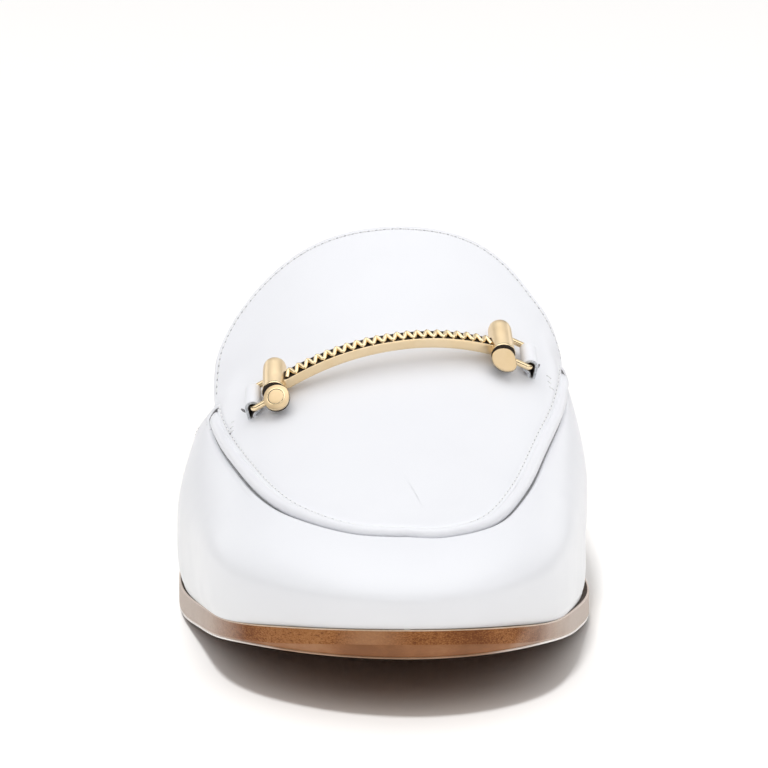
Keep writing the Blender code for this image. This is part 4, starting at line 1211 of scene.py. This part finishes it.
# ---------------------------------------------------------------- sole, heel and sock
def close_station(side, y):
    """As station, but followed right up to the middle of the toe and of the heel."""
    if y <= 0.02 or y >= SOLE_LENGTH - 0.01:
        return TOE_INDEX if y <= 0.02 else HEEL_INDEX
    index = np.arange(HEEL_INDEX + 1)
    if side > 0:
        index = np.concatenate([[0], np.arange(len(EDGE) - 1, HEEL_INDEX - 1, -1)])
    return int(index[np.argmin(np.abs(EDGE[index, 1] - y))])


def level_slab(name, ys, levels, finishes, marks=None, **rest):
    """Closed solid between outlines of the sole's plan, as in the solids but at a finer step."""
    sides = {side: [close_station(side, y) for y in ys] for side in (-1, 1)}
    for k in range(len(ys) - 2, 0, -1):
        if any(sides[side][k] in (sides[side][k - 1], sides[side][k + 1]) for side in (-1, 1)):
            for side in (-1, 1):
                del sides[side][k]
    ys = [EDGE[index, 1] for index in sides[-1]]
    cage = Cage()
    rings = []
    for inset, height in levels:
        ring = {}
        for side in (-1, 1):
            ids = []
            for k, index in enumerate(sides[side]):
                if side > 0 and index == sides[-1][k]:
                    ids.append(ring[-1][k])
                    continue
                y_here = EDGE[index, 1]
                x, y = EDGE[index] - EDGE_OUT[index] * inset(y_here, side)
                ids += cage.add([(x, y, float(height(y)))])
            ring[side] = ids
        rings.append(ring)
    marks = marks or [0] * (len(levels) + 1)
    for n, (low_ring, high_ring) in enumerate(zip(rings, rings[1:])):
        for k in range(len(ys) - 1):
            cage.face((low_ring[-1][k + 1], low_ring[-1][k], high_ring[-1][k], high_ring[-1][k + 1]), marks[n + 1])
            cage.face((low_ring[1][k], low_ring[1][k + 1], high_ring[1][k + 1], high_ring[1][k]), marks[n + 1])
        cage.face((low_ring[-1][0], low_ring[1][0], high_ring[1][0], high_ring[-1][0]), marks[n + 1])
        cage.face((low_ring[1][-1], low_ring[-1][-1], high_ring[-1][-1], high_ring[1][-1]), marks[n + 1])
    bottom, top = rings[0], rings[-1]
    for k in range(len(ys) - 1):
        cage.face((bottom[-1][k], bottom[-1][k + 1], bottom[1][k + 1], bottom[1][k]), marks[0])
        cage.face((top[-1][k + 1], top[-1][k], top[1][k], top[1][k + 1]), marks[-1])
    return cage.piece(name, finishes, **rest)


def fine_steps(first, last_y, count):
    order = np.arange(HEEL_INDEX + 1)
    reach = along(EDGE[order])
    ends = [reach[np.argmin(np.abs(EDGE[order, 1] - y))] for y in (first, last_y)]
    if first <= 0.5:
        ends[0] = 0.0
    ys = [float(np.interp(mark, reach, EDGE[order, 1])) for mark in np.linspace(ends[0], ends[1], count + 1)]
    ys[0], ys[-1] = first, last_y
    return ys


def rounded(inset, height, lean=0.0):
    return (lambda y, side: inset(y), height) if callable(inset) else (lambda y, side: inset, height)


drop = lambda y: float(bevel_drop(y))  # noqa: E731


def bevel_up(y, share):
    """Height over the underside at a share of the way up the bevel above its rim."""
    return 0.42 + (1.05 * drop(y) - 0.42) * share


def bevel_in(y, height):
    return BEVEL_RUN * max(drop(y) - height, 0.0) + 0.01


sole_levels = [
    (lambda y, side: drop(y) * BEVEL_RUN + 0.25, lambda y: underside(y)),
    (lambda y, side: bevel_in(y, 0.34) - 0.1, lambda y: underside(y) + 0.04),
    (lambda y, side: bevel_in(y, 0.34) - 0.16, lambda y: underside(y) + 0.2),
    (lambda y, side: bevel_in(y, 0.34) - 0.05, lambda y: underside(y) + 0.38),
    (lambda y, side: bevel_in(y, 0.34) + 0.04, lambda y: underside(y) + 0.42),
    (lambda y, side: bevel_in(y, bevel_up(y, 0.4)), lambda y: underside(y) + bevel_up(y, 0.4)),
    (lambda y, side: bevel_in(y, bevel_up(y, 0.8)), lambda y: underside(y) + bevel_up(y, 0.8)),
    (lambda y, side: 0.0, lambda y: underside(y) + bevel_up(y, 1.0)),
    (lambda y, side: 0.0, lambda y: (underside(y) + drop(y)) * 0.5 + sole_top(y) * 0.5),
    (lambda y, side: 0.0, lambda y: sole_top(y) - 0.5),
    (lambda y, side: 0.0, lambda y: sole_top(y) - 0.26),
    (lambda y, side: 0.02, lambda y: sole_top(y) - 0.16),
    (lambda y, side: 0.14, lambda y: sole_top(y) - 0.04),
    (lambda y, side: 0.34, lambda y: sole_top(y)),
    (lambda y, side: 0.6, lambda y: sole_top(y) - 0.05),
]
level_slab(
    "sole_body",
    fine_steps(0.0, SOLE_LENGTH, 220),
    sole_levels,
    [SOLE_EDGE, SOLE_BASE, SOLE_BEVEL, SOLE_RIM_HIGHLIGHT, SOLE_LEDGE, SOLE_LIP_HIGHLIGHT],
    marks=[1, 1, 3, 3, 3, 2, 2, 2, 0, 0, 0, 5, 5, 5, 4, 4],
    slot="sole_leather",
    replaces=("outsole",),
    sharp=50,
)
heel_ys = fine_steps(HEEL_BREAST, SOLE_LENGTH, 70)
LAYERS = 3
heel_levels = []
foot, head_z = HEEL_LIFT + 0.05, lambda y: underside(y) - 0.0
for n in range(LAYERS):
    for share, nick in ((0.0, 0.14), (0.06, 0.0), (0.94, 0.0), (1.0, 0.14)):
        at = (n + share) / LAYERS
        heel_levels.append(
            (
                lambda y, side, at=at, nick=nick: HEEL_INSET + 0.7 * (1 - at) + nick,
                lambda y, at=at: foot + (head_z(y) - foot) * at,
            )
        )
level_slab("heel_layers", heel_ys, heel_levels, [STACK], slot="heel_leather", replaces=("heel_stack",), sharp=50)
level_slab(
    "heel_tread",
    heel_ys,
    [
        (lambda y, side: HEEL_INSET + 1.3, lambda y: 0.0),
        (lambda y, side: HEEL_INSET + 0.86, lambda y: 0.12),
        (lambda y, side: HEEL_INSET + 0.72, lambda y: 0.5),
        (lambda y, side: HEEL_INSET + 0.7, lambda y: HEEL_LIFT - 0.15),
        (lambda y, side: HEEL_INSET + 0.84, lambda y: HEEL_LIFT),
    ],
    [LIFT],
    slot="heel_rubber",
    replaces=("heel_toplift",),
    sharp=50,
)


def sock_inset(y, side):
    ledge = np.interp(y, [r[0] for r in WALL_TABLE], [r[1 if side < 0 else 2] for r in WALL_TABLE])
    return float(np.interp(y, (VAMP_END_Y + 1.2, VAMP_END_Y + 4.2), (ledge + WALL + 0.6, 1.0)))


def with_inset(extra):
    return lambda y, side: sock_inset(y, side) + extra


level_slab(
    "sock",
    fine_steps(0.0, SOLE_LENGTH, 180),
    [
        (with_inset(0.1), lambda y: sole_top(y) + 0.05),
        (with_inset(0.0), lambda y: sole_top(y) + 0.5),
        (with_inset(0.0), lambda y: sole_top(y) + FOOTBED - 0.9),
        (with_inset(0.12), lambda y: sole_top(y) + FOOTBED - 0.45),
        (with_inset(0.42), lambda y: sole_top(y) + FOOTBED - 0.12),
        (with_inset(0.9), lambda y: sole_top(y) + FOOTBED),
    ],
    [SOCK],
    slot="sock_leather",
    replaces=("insole",),
    sharp=60,
)


# ---------------------------------------------------------------- metal bit and its tabs
def clear_lift(points, radii, up):
    points = np.asarray(points, float)
    normal = surface_normal(points[:, 0], points[:, 1])
    above = (points[:, 2] - top_z(points[:, 0], points[:, 1])) * normal[:, 2]
    return float(np.max((np.asarray(radii) + GAP - above) / (normal @ up)))


def bit_frame(side):
    """Middle of a T-shaped end with its directions: outward, along the end, and up."""
    x, y = BIT_END_PLACE[0 if side < 0 else 1]
    normal = surface_normal(np.array([x]), np.array([y]))[0]
    tilt = math.radians(BIT_END_TILT)
    toward = unit(np.array([0.0 if side < 0 else -0.07, math.cos(tilt), math.sin(tilt)]))
    across = unit(np.cross(toward, normal))
    up = np.cross(across, toward)
    middle = np.array([x, y, float(top_z(np.array([x]), np.array([y]))[0])])
    marks = np.linspace(-0.5, 0.5, 9) * BIT_END_LENGTH
    radii = np.where(marks < -5.1, BIT_CAP_RADIUS, BIT_END_RADIUS)
    middle = middle + up * clear_lift(middle + toward * marks[:, None], radii, up)
    return middle, across * side, toward, up


def marked_sweep(cage, rings, marks, caps=(0, 0)):
    """Sweep of one closed outline whose sides carry their own finishes."""
    ids = [cage.add(ring) for ring in rings]
    count = len(ids[0])
    for here, there in zip(ids, ids[1:]):
        for k in range(count):
            j = (k + 1) % count
            cage.face((here[k], here[j], there[j], there[k]), marks[k])
    for ring, place, turn, mark in ((ids[0], rings[0], -1, caps[0]), (ids[-1], rings[-1], 1, caps[1])):
        middle = cage.add(np.mean(place, axis=0))[0]
        for k in range(count):
            j = (k + 1) % count
            cage.face((ring[k], ring[j], middle)[::turn], mark)
    return ids


def turned(cage, profile, middle, axis, right, steps=56, outline=None, marks=None):
    """Profile of (radius, height) turned round an axis. outline scales the radius by angle."""
    over = np.cross(axis, right)
    turn = np.linspace(0, 2 * math.pi, steps, endpoint=False)
    way = right * np.cos(turn)[:, None] + over * np.sin(turn)[:, None]
    rings = []
    for k, (radius, height) in enumerate(profile):
        scale = outline[k](turn) if outline is not None and outline[k] is not None else np.ones(steps)
        rings.append(middle + axis * height + way * (radius * scale)[:, None])
    ids = [cage.add(ring) for ring in rings]
    for n, (here, there) in enumerate(zip(ids, ids[1:])):
        for k in range(steps):
            j = (k + 1) % steps
            cage.face((here[k], here[j], there[j], there[k]), 0 if marks is None else marks[n])
    for ring, place, turn_way in ((ids[0], rings[0], -1), (ids[-1], rings[-1], 1)):
        centre = cage.add(np.mean(place, axis=0))[0]
        for k in range(steps):
            j = (k + 1) % steps
            cage.face((ring[k], ring[j], centre)[::turn_way], 0)
    return ids


# Finish 2, under the lip and round the neck, is near black: painted shade between the end and its button.
END_SHAPE = (  # radius, height, finish: domed toward the heel, with a lip and neck toward the toe
    (0.4, 7.6, 0),
    (0.95, 7.52, 0),
    (1.5, 7.3, 0),
    (1.9, 6.95, 0),
    (2.26, 6.45, 0),
    (2.42, 5.8, 0),
    (2.48, 4.8, 0),
    (2.48, 0.5, 0),
    (2.46, -2.8, 0),
    (2.48, -3.0, 1),
    (2.56, -3.15, 1),
    (2.58, -3.35, 1),
    (2.5, -3.5, 1),
    (2.36, -3.56, 2),
    (1.7, -3.6, 2),
    (1.6, -4.2, 2),
    (1.35, -4.7, 2),
    (0.9, -5.2, 2),
)
END_TRIM = {-1: 0.1, 1: 0.0}  # the lateral end stops this much short of the medial one
# Button at the toe end of each T: share of its outline, height on its own axis, finish. Finish 2, on the button's back
# and in the lateral button's ring line, is near black: painted shade.
BUTTON_SHAPE = {
    -1: (
        (0.3, -1.5, 2), (0.7, -1.35, 2), (0.97, -1.0, 2), (1.0, -0.9, 2), (1.0, -0.44, 2), (1.0, -0.36, 1), (1.0, 0.06, 1), (0.985, 0.16, 1), (0.95, 0.22, 0),
        (0.7, 0.42, 0), (0.655, 0.455, 1), (0.63, 0.47, 1), (0.61, 0.45, 2), (0.595, 0.41, 2), (0.58, 0.45, 1), (0.55, 0.48, 0), (0.3, 0.49, 0), (0.04, 0.495, 0),
    ),
    1: (
        (0.3, -1.6, 2), (0.7, -1.3, 2), (0.97, -0.8, 2), (1.0, -0.65, 2), (1.0, -0.15, 2), (1.0, -0.1, 1), (0.995, 0.36, 1), (0.965, 0.52, 1), (0.925, 0.6, 0),
        (0.6, 0.63, 0), (0.3, 0.64, 0), (0.04, 0.645, 0),
    ),
}
BUTTON_AXIS = {-1: (-0.25, -0.685, 0.684), 1: (0.0, -0.891, 0.454)}
BUTTON_PLACE = {-1: (0.72, -6.4, 1.0), 1: (0.05, -5.65, 0.05)}  # aside of the T's axis, along it, and out on its own
# Outline of each button, counter-clockwise from the shoe's medial side.
BUTTON_OUTLINE = {
    -1: ((0, 2.6), (45, 2.8), (85, 3.0), (120, 3.12), (150, 3.02), (180, 2.74), (225, 2.72), (270, 2.74), (315, 2.86), (360, 2.72)),
    1: (
        (0, 2.38), (30, 2.26), (59, 2.46), (94, 2.4), (128, 2.66), (157, 2.84), (175, 2.56), (219, 2.2),
        (253, 2.26), (289, 2.6), (312, 3.05), (328, 3.1), (343, 2.66), (360, 2.38),
    ),
}


def button(cage, side, centre, marks_offset=0):
    axis = unit(np.array(BUTTON_AXIS[side]))
    right = unit(np.cross(axis, np.array([0.0, 0.0, 1.0]))) * -1.0
    over = np.cross(right, axis) * -1.0
    over = over * np.sign(over[2])
    steps = 72
    turn = np.linspace(0, 360, steps, endpoint=False)
    table = np.array(BUTTON_OUTLINE[side])
    outline = np.interp(turn, table[:, 0], table[:, 1])
    weight = np.exp(-0.5 * (np.arange(-8, 9) / 2.6) ** 2)
    outline = sum(w * np.roll(outline, k) for w, k in zip(weight / weight.sum(), range(-8, 9)))
    way = right * np.cos(np.radians(turn))[:, None] + over * np.sin(np.radians(turn))[:, None]
    rings = [centre + axis * height + way * (share * outline)[:, None] for share, height, _ in BUTTON_SHAPE[side]]
    ids = [cage.add(ring) for ring in rings]
    finish = [m for _, _, m in BUTTON_SHAPE[side]][1:]
    for n, (here, there) in enumerate(zip(ids, ids[1:])):
        for k in range(steps):
            j = (k + 1) % steps
            cage.face((here[k], here[j], there[j], there[k]), finish[n])
    for ring, place, flip in ((ids[0], rings[0], -1), (ids[-1], rings[-1], 1)):
        middle = cage.add(np.mean(place, axis=0))[0]
        for k in range(steps):
            j = (k + 1) % steps
            cage.face((ring[k], ring[j], middle)[::flip], 0)


def smoothed(path, times):
    path = np.array(path, float)
    for _ in range(times):
        path[1:-1] = path[1:-1] * 0.5 + (path[:-2] + path[2:]) * 0.25
    return path


frames = {side: bit_frame(side) for side in (-1, 1)}
for side, word in ((-1, "lateral"), (1, "medial")):
    middle, out, toward, up = frames[side]
    end = Cage()
    right = unit(np.cross(up, toward)) * -1.0
    turned(end, [(r, h + END_TRIM[side] * (h < -2)) for r, h, _ in END_SHAPE], middle, toward, right, steps=64, marks=[m for _, _, m in END_SHAPE][1:])
    aside, ahead, proud = BUTTON_PLACE[side]
    button_marks = Cage()
    button(button_marks, side, middle + toward * ahead + np.array([aside, 0.0, 0.0]) + unit(np.array(BUTTON_AXIS[side])) * proud)
    end_object = end.piece(f"bit_end_{word}_fine", [SATIN_GOLD, GOLD, RECESS_SHADE], slot="gold_metal", replaces=(f"bit_end_{word}",), sharp=38, outward=True)
    button_marks.piece(f"bit_button_{word}", [CAP_GOLD, GOLD, RECESS_SHADE], slot="gold_metal", sharp=32, outward=True)

    # Ring that the leather tab wraps.
    outer_radius = RING_WIRE_RADIUS + GAP + TAB_LEATHER
    reach_out = RING_REACH[0 if side < 0 else 1]
    shift = toward * RING_SHIFT[0 if side < 0 else 1]
    loop = middle + out * reach_out + shift
    checks = [loop + out * mark + toward * (TAB_WIDTH / 2 * e) for mark in (-outer_radius * 0.7, 0.0, outer_radius * 0.7) for e in (-1, 0, 1)]
    loop = loop + up * clear_lift(checks, [outer_radius] * len(checks), up)
    half = RING_LENGTH / 2
    inner_end = middle + out * (BIT_END_RADIUS - 0.5) + shift
    corners = [inner_end + toward * half, loop + toward * half, loop - toward * half, inner_end - toward * half]
    bend = 1.15
    wire = [corners[0]]
    for before, at, after in zip(corners, corners[1:], corners[2:]):
        to_before, to_after = unit(before - at), unit(after - at)
        start, goal = at + to_before * bend, at + to_after * bend
        for share in np.linspace(0, 1, 9):
            wire.append((1 - share) ** 2 * start + 2 * share * (1 - share) * at + share**2 * goal)
    wire.append(corners[-1])
    ring = Cage()
    ring.sweep(tube_rings(resampled(np.array(wire), None, 0.22), up, RING_WIRE_RADIUS, steps=18))
    ring.piece(f"bit_ring_{word}_fine", [GOLD], slot="gold_metal", replaces=(f"bit_ring_{word}",), sharp=None, outward=True)

    # Leather tab: one strap folded round the ring, both ends let down through a slit in the apron.
    wrap = RING_WIRE_RADIUS + GAP + TAB_LEATHER / 2
    thick = TAB_LEATHER

    def over_apron(mark):
        """Height of the apron at a distance outward, from the ring's middle."""
        points = loop + out * mark + np.outer(np.linspace(-0.5, 0.5, 5) * TAB_WIDTH, toward)
        normal = surface_normal(points[:, 0], points[:, 1])
        return -float(np.mean((points[:, 2] - top_z(points[:, 0], points[:, 1])) * normal[:, 2]))

    slit = wrap + 0.25
    ground = over_apron(slit)
    strap = [(0.55 * wrap, ground - 1.3), (0.5 * wrap, ground - 0.5), (0.15 * wrap, max(ground + 0.45, -wrap * 1.0))]
    for angle in np.linspace(-100, -352, 30):
        strap.append((wrap * math.cos(math.radians(angle)), wrap * math.sin(math.radians(angle))))
    strap += [(wrap * 1.06, -0.55 * wrap), (slit, ground + 0.3), (slit - 0.05, ground - 0.5), (slit - 0.1, ground - 1.3)]
    strap = smoothed(resampled(np.array(strap), None, 0.2), 8)
    way = tangents(np.column_stack([strap, np.zeros(len(strap))]))
    across = np.column_stack([-way[:, 1], way[:, 0]])
    # The strap's outer face is the side away from the ring.
    sign = np.sign(np.sum(across[len(across) // 2] * strap[len(strap) // 2]))
    across = across * sign
    spread = TAB_WIDTH / 2 + 0.1
    # Finish 2, the strap's inner face toward the ring, is near black: painted shadow inside the loop.
    section_marks = [
        (-spread, -0.7, 1), (-spread, 0.7, 1), (-spread + 0.1, 0.95, 0), (-spread + 0.35, 1.0, 0), (0.0, 1.03, 0), (spread - 0.35, 1.0, 0), (spread - 0.1, 0.95, 0),
        (spread, 0.7, 1), (spread, -0.7, 1), (spread - 0.1, -0.95, 2), (spread - 0.35, -1.0, 2), (0.0, -1.0, 2), (-spread + 0.35, -1.0, 2), (-spread + 0.1, -0.95, 2),
    ]
    rings = []
    for (u, w), (nu, nw) in zip(strap, across):
        rings.append([loop + out * (u + nu * level * thick / 2) + up * (w + nw * level * thick / 2) + toward * width for width, level, _ in section_marks])
    tab = Cage()
    edge_marks = []
    for k, (_, _, mark) in enumerate(section_marks):
        after = section_marks[(k + 1) % len(section_marks)][2]
        edge_marks.append(1 if mark == 1 and after == 1 else (2 if 2 in (mark, after) else 0))
    marked_sweep(tab, np.array(rings), edge_marks)
    # Near-black plug that fills the loop behind its opening: painted shadow inside the loop.
    fill = []
    turn = np.linspace(0, 2 * math.pi, 24, endpoint=False)
    for width, size_here in ((-spread + 0.9, 0.99), (spread - 0.9, 0.99)):
        fill.append([loop + out * math.cos(a) * wrap * size_here + up * math.sin(a) * wrap * size_here + toward * width for a in turn])
    marked_sweep(tab, np.array(fill), [2] * 24, caps=(2, 2))
    tab.piece(f"bit_tab_{word}_fine", [WHITE, CUT_EDGE, LOOP_SHADOW], slot="white_leather", replaces=(f"bit_tab_{word}",), sharp=50, outward=True)

    # Slit that the strap's ends go down through, drawn as a dark tube along the strap's outer foot: painted shadow in
    # the slit's opening.
    gash = []
    for t in np.linspace(-1, 1, 25):
        bow = slit + 0.5 + 0.72 * t
        spot = loop + out * bow + toward * (2.3 + 1.6 * t)
        place = np.array([spot[0], spot[1], float(top_z(spot[:1], spot[1:2])[0])])
        gash.append((place, surface_normal(spot[:1], spot[1:2])[0], math.sqrt(max(1 - t * t, 0.02))))
    places, ups, sizes = (np.array([g[n] for g in gash]) for n in range(3))
    slit_shade = Cage()
    slit_shade.sweep(tube_rings(places + ups * (-0.1), ups, 0.36 * sizes, steps=12, wide=0.9))
    slit_shade.piece(f"tab_slit_shadow_{word}", [SEAM_SHADOW], slot="white_leather", sharp=None, outward=True)
    # Two short stitches that hold the strap's ends, just outward of the slit.
    sewn = Cage()
    holes = Cage()
    for t, far in ((-0.78, 2.35), (-0.3, 2.15), (0.25, 2.1)):
        line = []
        for step in np.linspace(-0.5, 0.5, 7):
            spot = loop + out * (slit + 0.75 + far + step * 0.9) + toward * (t * spread)
            line.append([spot[0], spot[1], float(top_z(spot[:1], spot[1:2])[0])])
        line = np.array(line)
        ups = surface_normal(line[:, 0], line[:, 1])
        add_stitches(sewn, line + ups * 0.06, ups, 0.88, 0.8, 0.15, sink=0.1, rise=0.1)
        add_holes(holes, line + ups * 0.08, ups, 0.88, 0.42, 0.38)
    sewn.piece(f"tab_stitches_{word}", [THREAD], slot="white_leather", sharp=None, outward=True)
    holes.piece(f"tab_stitch_holes_{word}", [NEEDLE_HOLE_SHADE], slot="white_leather", sharp=None, outward=True)
    frames[side] = (middle, out, toward, up, loop)

# Bar: solid front band, and a wire laid in waves along a channel on its top.
left, right_end = frames[-1], frames[1]
bar_start = left[0] - left[1] * (BIT_END_RADIUS + GAP + 0.1) + left[2] * BAR_SLIDE
bar_end = right_end[0] - right_end[1] * (BIT_END_RADIUS + GAP + 0.1) - right_end[2] * BAR_SLIDE
bar_up = unit(left[3] + right_end[3])
shares = np.linspace(-0.03, 1.03, 121)
arch = 1 - np.abs(2 * np.clip(shares, 0, 1) - 1) ** 2.1
bar_path = bar_start + (bar_end - bar_start) * shares[:, None] + bar_up * (BIT_BAR_RISE * arch)[:, None]
bar_path = resampled(bar_path, 241)
bar_way = tangents(bar_path)
front = unit(np.cross(bar_way, bar_up))
front = front * np.sign(-front[:, 1])[:, None]
bar_top = np.cross(front, bar_way)
bar_top = bar_top * np.sign(bar_top[:, 2])[:, None]
# Finish 2, the channel's walls and floor and the back rim, is near black: painted shade under and behind the wave.
BAR_PROFILE = (  # toward the toe, up, finish of the side that follows
    (-1.25, -1.60, 0),
    (1.05, -1.72, 0),
    (1.34, -1.70, 1),
    (1.54, -1.54, 1),
    (1.60, -1.32, 0),
    (1.61, -0.60, 0),
    (1.61, 0.10, 0),
    (1.60, 0.42, 0),
    (1.55, 0.56, 0),
    (1.44, 0.62, 0),
    (1.34, 0.56, 2),
    (1.28, 0.3, 2),
    (-1.30, 0.3, 2),
    (-1.48, 0.54, 2),
    (-1.66, 0.54, 2),
    (-1.76, 0.25, 2),
    (-1.66, -0.9, 0),
    (-1.48, -1.4, 0),
)
rings = [p + f * 1.0 * np.array([[u] for u, _, _ in BAR_PROFILE]) + t * np.array([[w] for _, w, _ in BAR_PROFILE]) for p, f, t in zip(bar_path, front, bar_top)]
bar = Cage()
marked_sweep(bar, np.array(rings), [m for _, _, m in BAR_PROFILE])
reach = along(bar_path)
WAVE_PITCH = 2.12
count = int((reach[-1] - 1.6) / WAVE_PITCH)
begin = (reach[-1] - count * WAVE_PITCH) / 2
marks = np.linspace(begin, begin + count * WAVE_PITCH, count * 14 + 1)
phase = (marks - begin) / WAVE_PITCH
cycle = phase % 1.0
swing = np.where(cycle < 0.54, 1 - 2 * cycle / 0.54, -1 + 2 * (cycle - 0.54) / 0.46)
swing = np.sin(swing * math.pi / 2 * 0.92) / math.sin(math.pi / 2 * 0.92)
pick_rows = lambda rows: np.column_stack([np.interp(marks, reach, rows[:, k]) for k in range(3)])  # noqa: E731
wave = pick_rows(bar_path) + pick_rows(front) * (-0.06 + 1.02 * swing)[:, None] + pick_rows(bar_top) * (0.72 - 0.1 * swing)[:, None]
bar.sweep(tube_rings(resampled(wave, len(marks) * 1), pick_rows(bar_top), 0.47, steps=12), mark=1)
bar.piece("bit_bar_fine", [SATIN_GOLD, GOLD, RECESS_SHADE], slot="gold_metal", replaces=("bit_bar",), sharp=35, outward=True)


# ---------------------------------------------------------------- stage, lights and camera
FLOOR, tree, shader = new_finish("studio_floor", 0.9, 0.0, (0.93, 0.93, 0.93))
mesh = bpy.data.meshes.new("studio_floor")
reach = 4.0
mesh.from_pydata([(-reach, -reach, 0), (reach, -reach, 0), (reach, reach, 0), (-reach, reach, 0)], [], [(0, 1, 2, 3)])
floor = bpy.data.objects.new("studio_floor", mesh)
mesh.materials.append(FLOOR)
bpy.context.scene.collection.objects.link(floor)

# Pale studio all round, whose light comes from above the table, and soft lights. The lights that shape the floor's
# shadow and those that shape the leather are linked to their own, as flags and cards would do.
world = bpy.data.worlds.new("studio")
world.use_nodes = True
tree = world.node_tree
background = tree.nodes["Background"]
background.inputs["Color"].default_value = (1, 1, 1, 1)
place = tree.nodes.new("ShaderNodeTexCoord")
split = tree.nodes.new("ShaderNodeSeparateXYZ")
height = tree.nodes.new("ShaderNodeMapRange")
height.interpolation_type = "SMOOTHSTEP"
for name, number in (("From Min", 0.2), ("From Max", 0.5), ("To Min", 0.0), ("To Max", 0.70)):
    height.inputs[name].default_value = number
tree.links.new(place.outputs["Generated"], split.inputs[0])
tree.links.new(split.outputs["Z"], height.inputs["Value"])
seen = tree.nodes.new("ShaderNodeLightPath")
pale = tree.nodes.new("ShaderNodeMix")
pale.inputs["B"].default_value = 0.62
tree.links.new(seen.outputs["Is Camera Ray"], pale.inputs["Factor"])
tree.links.new(height.outputs["Result"], pale.inputs["A"])
tree.links.new(pale.outputs["Result"], background.inputs["Strength"])
bpy.context.scene.world = world


def softbox(name, place, target, size, power, lights_floor, color=(1, 1, 1)):
    light = bpy.data.lights.new(name, "AREA")
    light.shape = "RECTANGLE"
    light.size, light.size_y = size
    light.energy = power
    light.color = color
    obj = bpy.data.objects.new(name, light)
    obj.location = place
    obj.rotation_euler = (Vector(target) - Vector(place)).to_track_quat("-Z", "Y").to_euler()
    bpy.context.scene.collection.objects.link(obj)
    only = bpy.data.collections.new(name + "_on")
    only.objects.link(floor)
    if not lights_floor:
        only.collection_objects[0].light_linking.link_state = "EXCLUDE"
    obj.light_linking.receiver_collection = only
    return obj


softbox("floor_key", (-0.25, -1.64, 2.53), (0.0, -0.05, 0.0), (0.3, 0.3), 55.0, True)
softbox("floor_front", (0.0, -1.35, 1.2), (0.0, -0.05, 0.0), (2.4, 0.9), 10.5, True, (1.0, 0.9, 0.8))
softbox("floor_overhead", (0.0, 0.1, 1.3), (0, 0, 0), (1.8, 1.4), 0.8, True, (1.0, 0.8, 0.62))
softbox("overhead", (0.0, 0.1, 1.3), (0, 0, 0), (1.8, 1.4), 9.8, False)
softbox("left_card", (-1.25, -0.35, 0.78), (0.0, -0.03, 0.03), (1.1, 0.8), 2.1, False)
softbox("right_card", (1.25, -0.35, 0.7), (0.0, -0.03, 0.03), (1.1, 0.8), 2.7, False)
softbox("back_left", (-1.0, 1.25, 0.42), (0.0, 0.05, 0.04), (1.0, 0.5), 2.2, False)
softbox("back_right", (1.0, 1.25, 0.42), (0.0, 0.05, 0.04), (1.0, 0.5), 2.2, False)
softbox("front_high", (0.0, -1.7, 1.0), (0.0, -0.05, 0.03), (1.6, 0.6), 5.6, False)

ELEVATION, DISTANCE = math.radians(15.0), 1.5
aim = (np.array([0.0, 75.0, 51.5]) + SHIFT) * MM
camera = bpy.data.cameras.new("view")
camera.sensor_width = 36.0
camera.lens = 341.5
camera.clip_start, camera.clip_end = 0.05, 20.0
eye = bpy.data.objects.new("view", camera)
eye.location = Vector(aim) + Vector((0, -math.cos(ELEVATION), math.sin(ELEVATION))) * DISTANCE
eye.rotation_euler = (Vector(aim) - eye.location).to_track_quat("-Z", "Y").to_euler()
bpy.context.scene.collection.objects.link(eye)
bpy.context.scene.camera = eye
bpy.context.scene.view_settings.view_transform = "Standard"
bpy.context.scene.view_settings.look = "None"
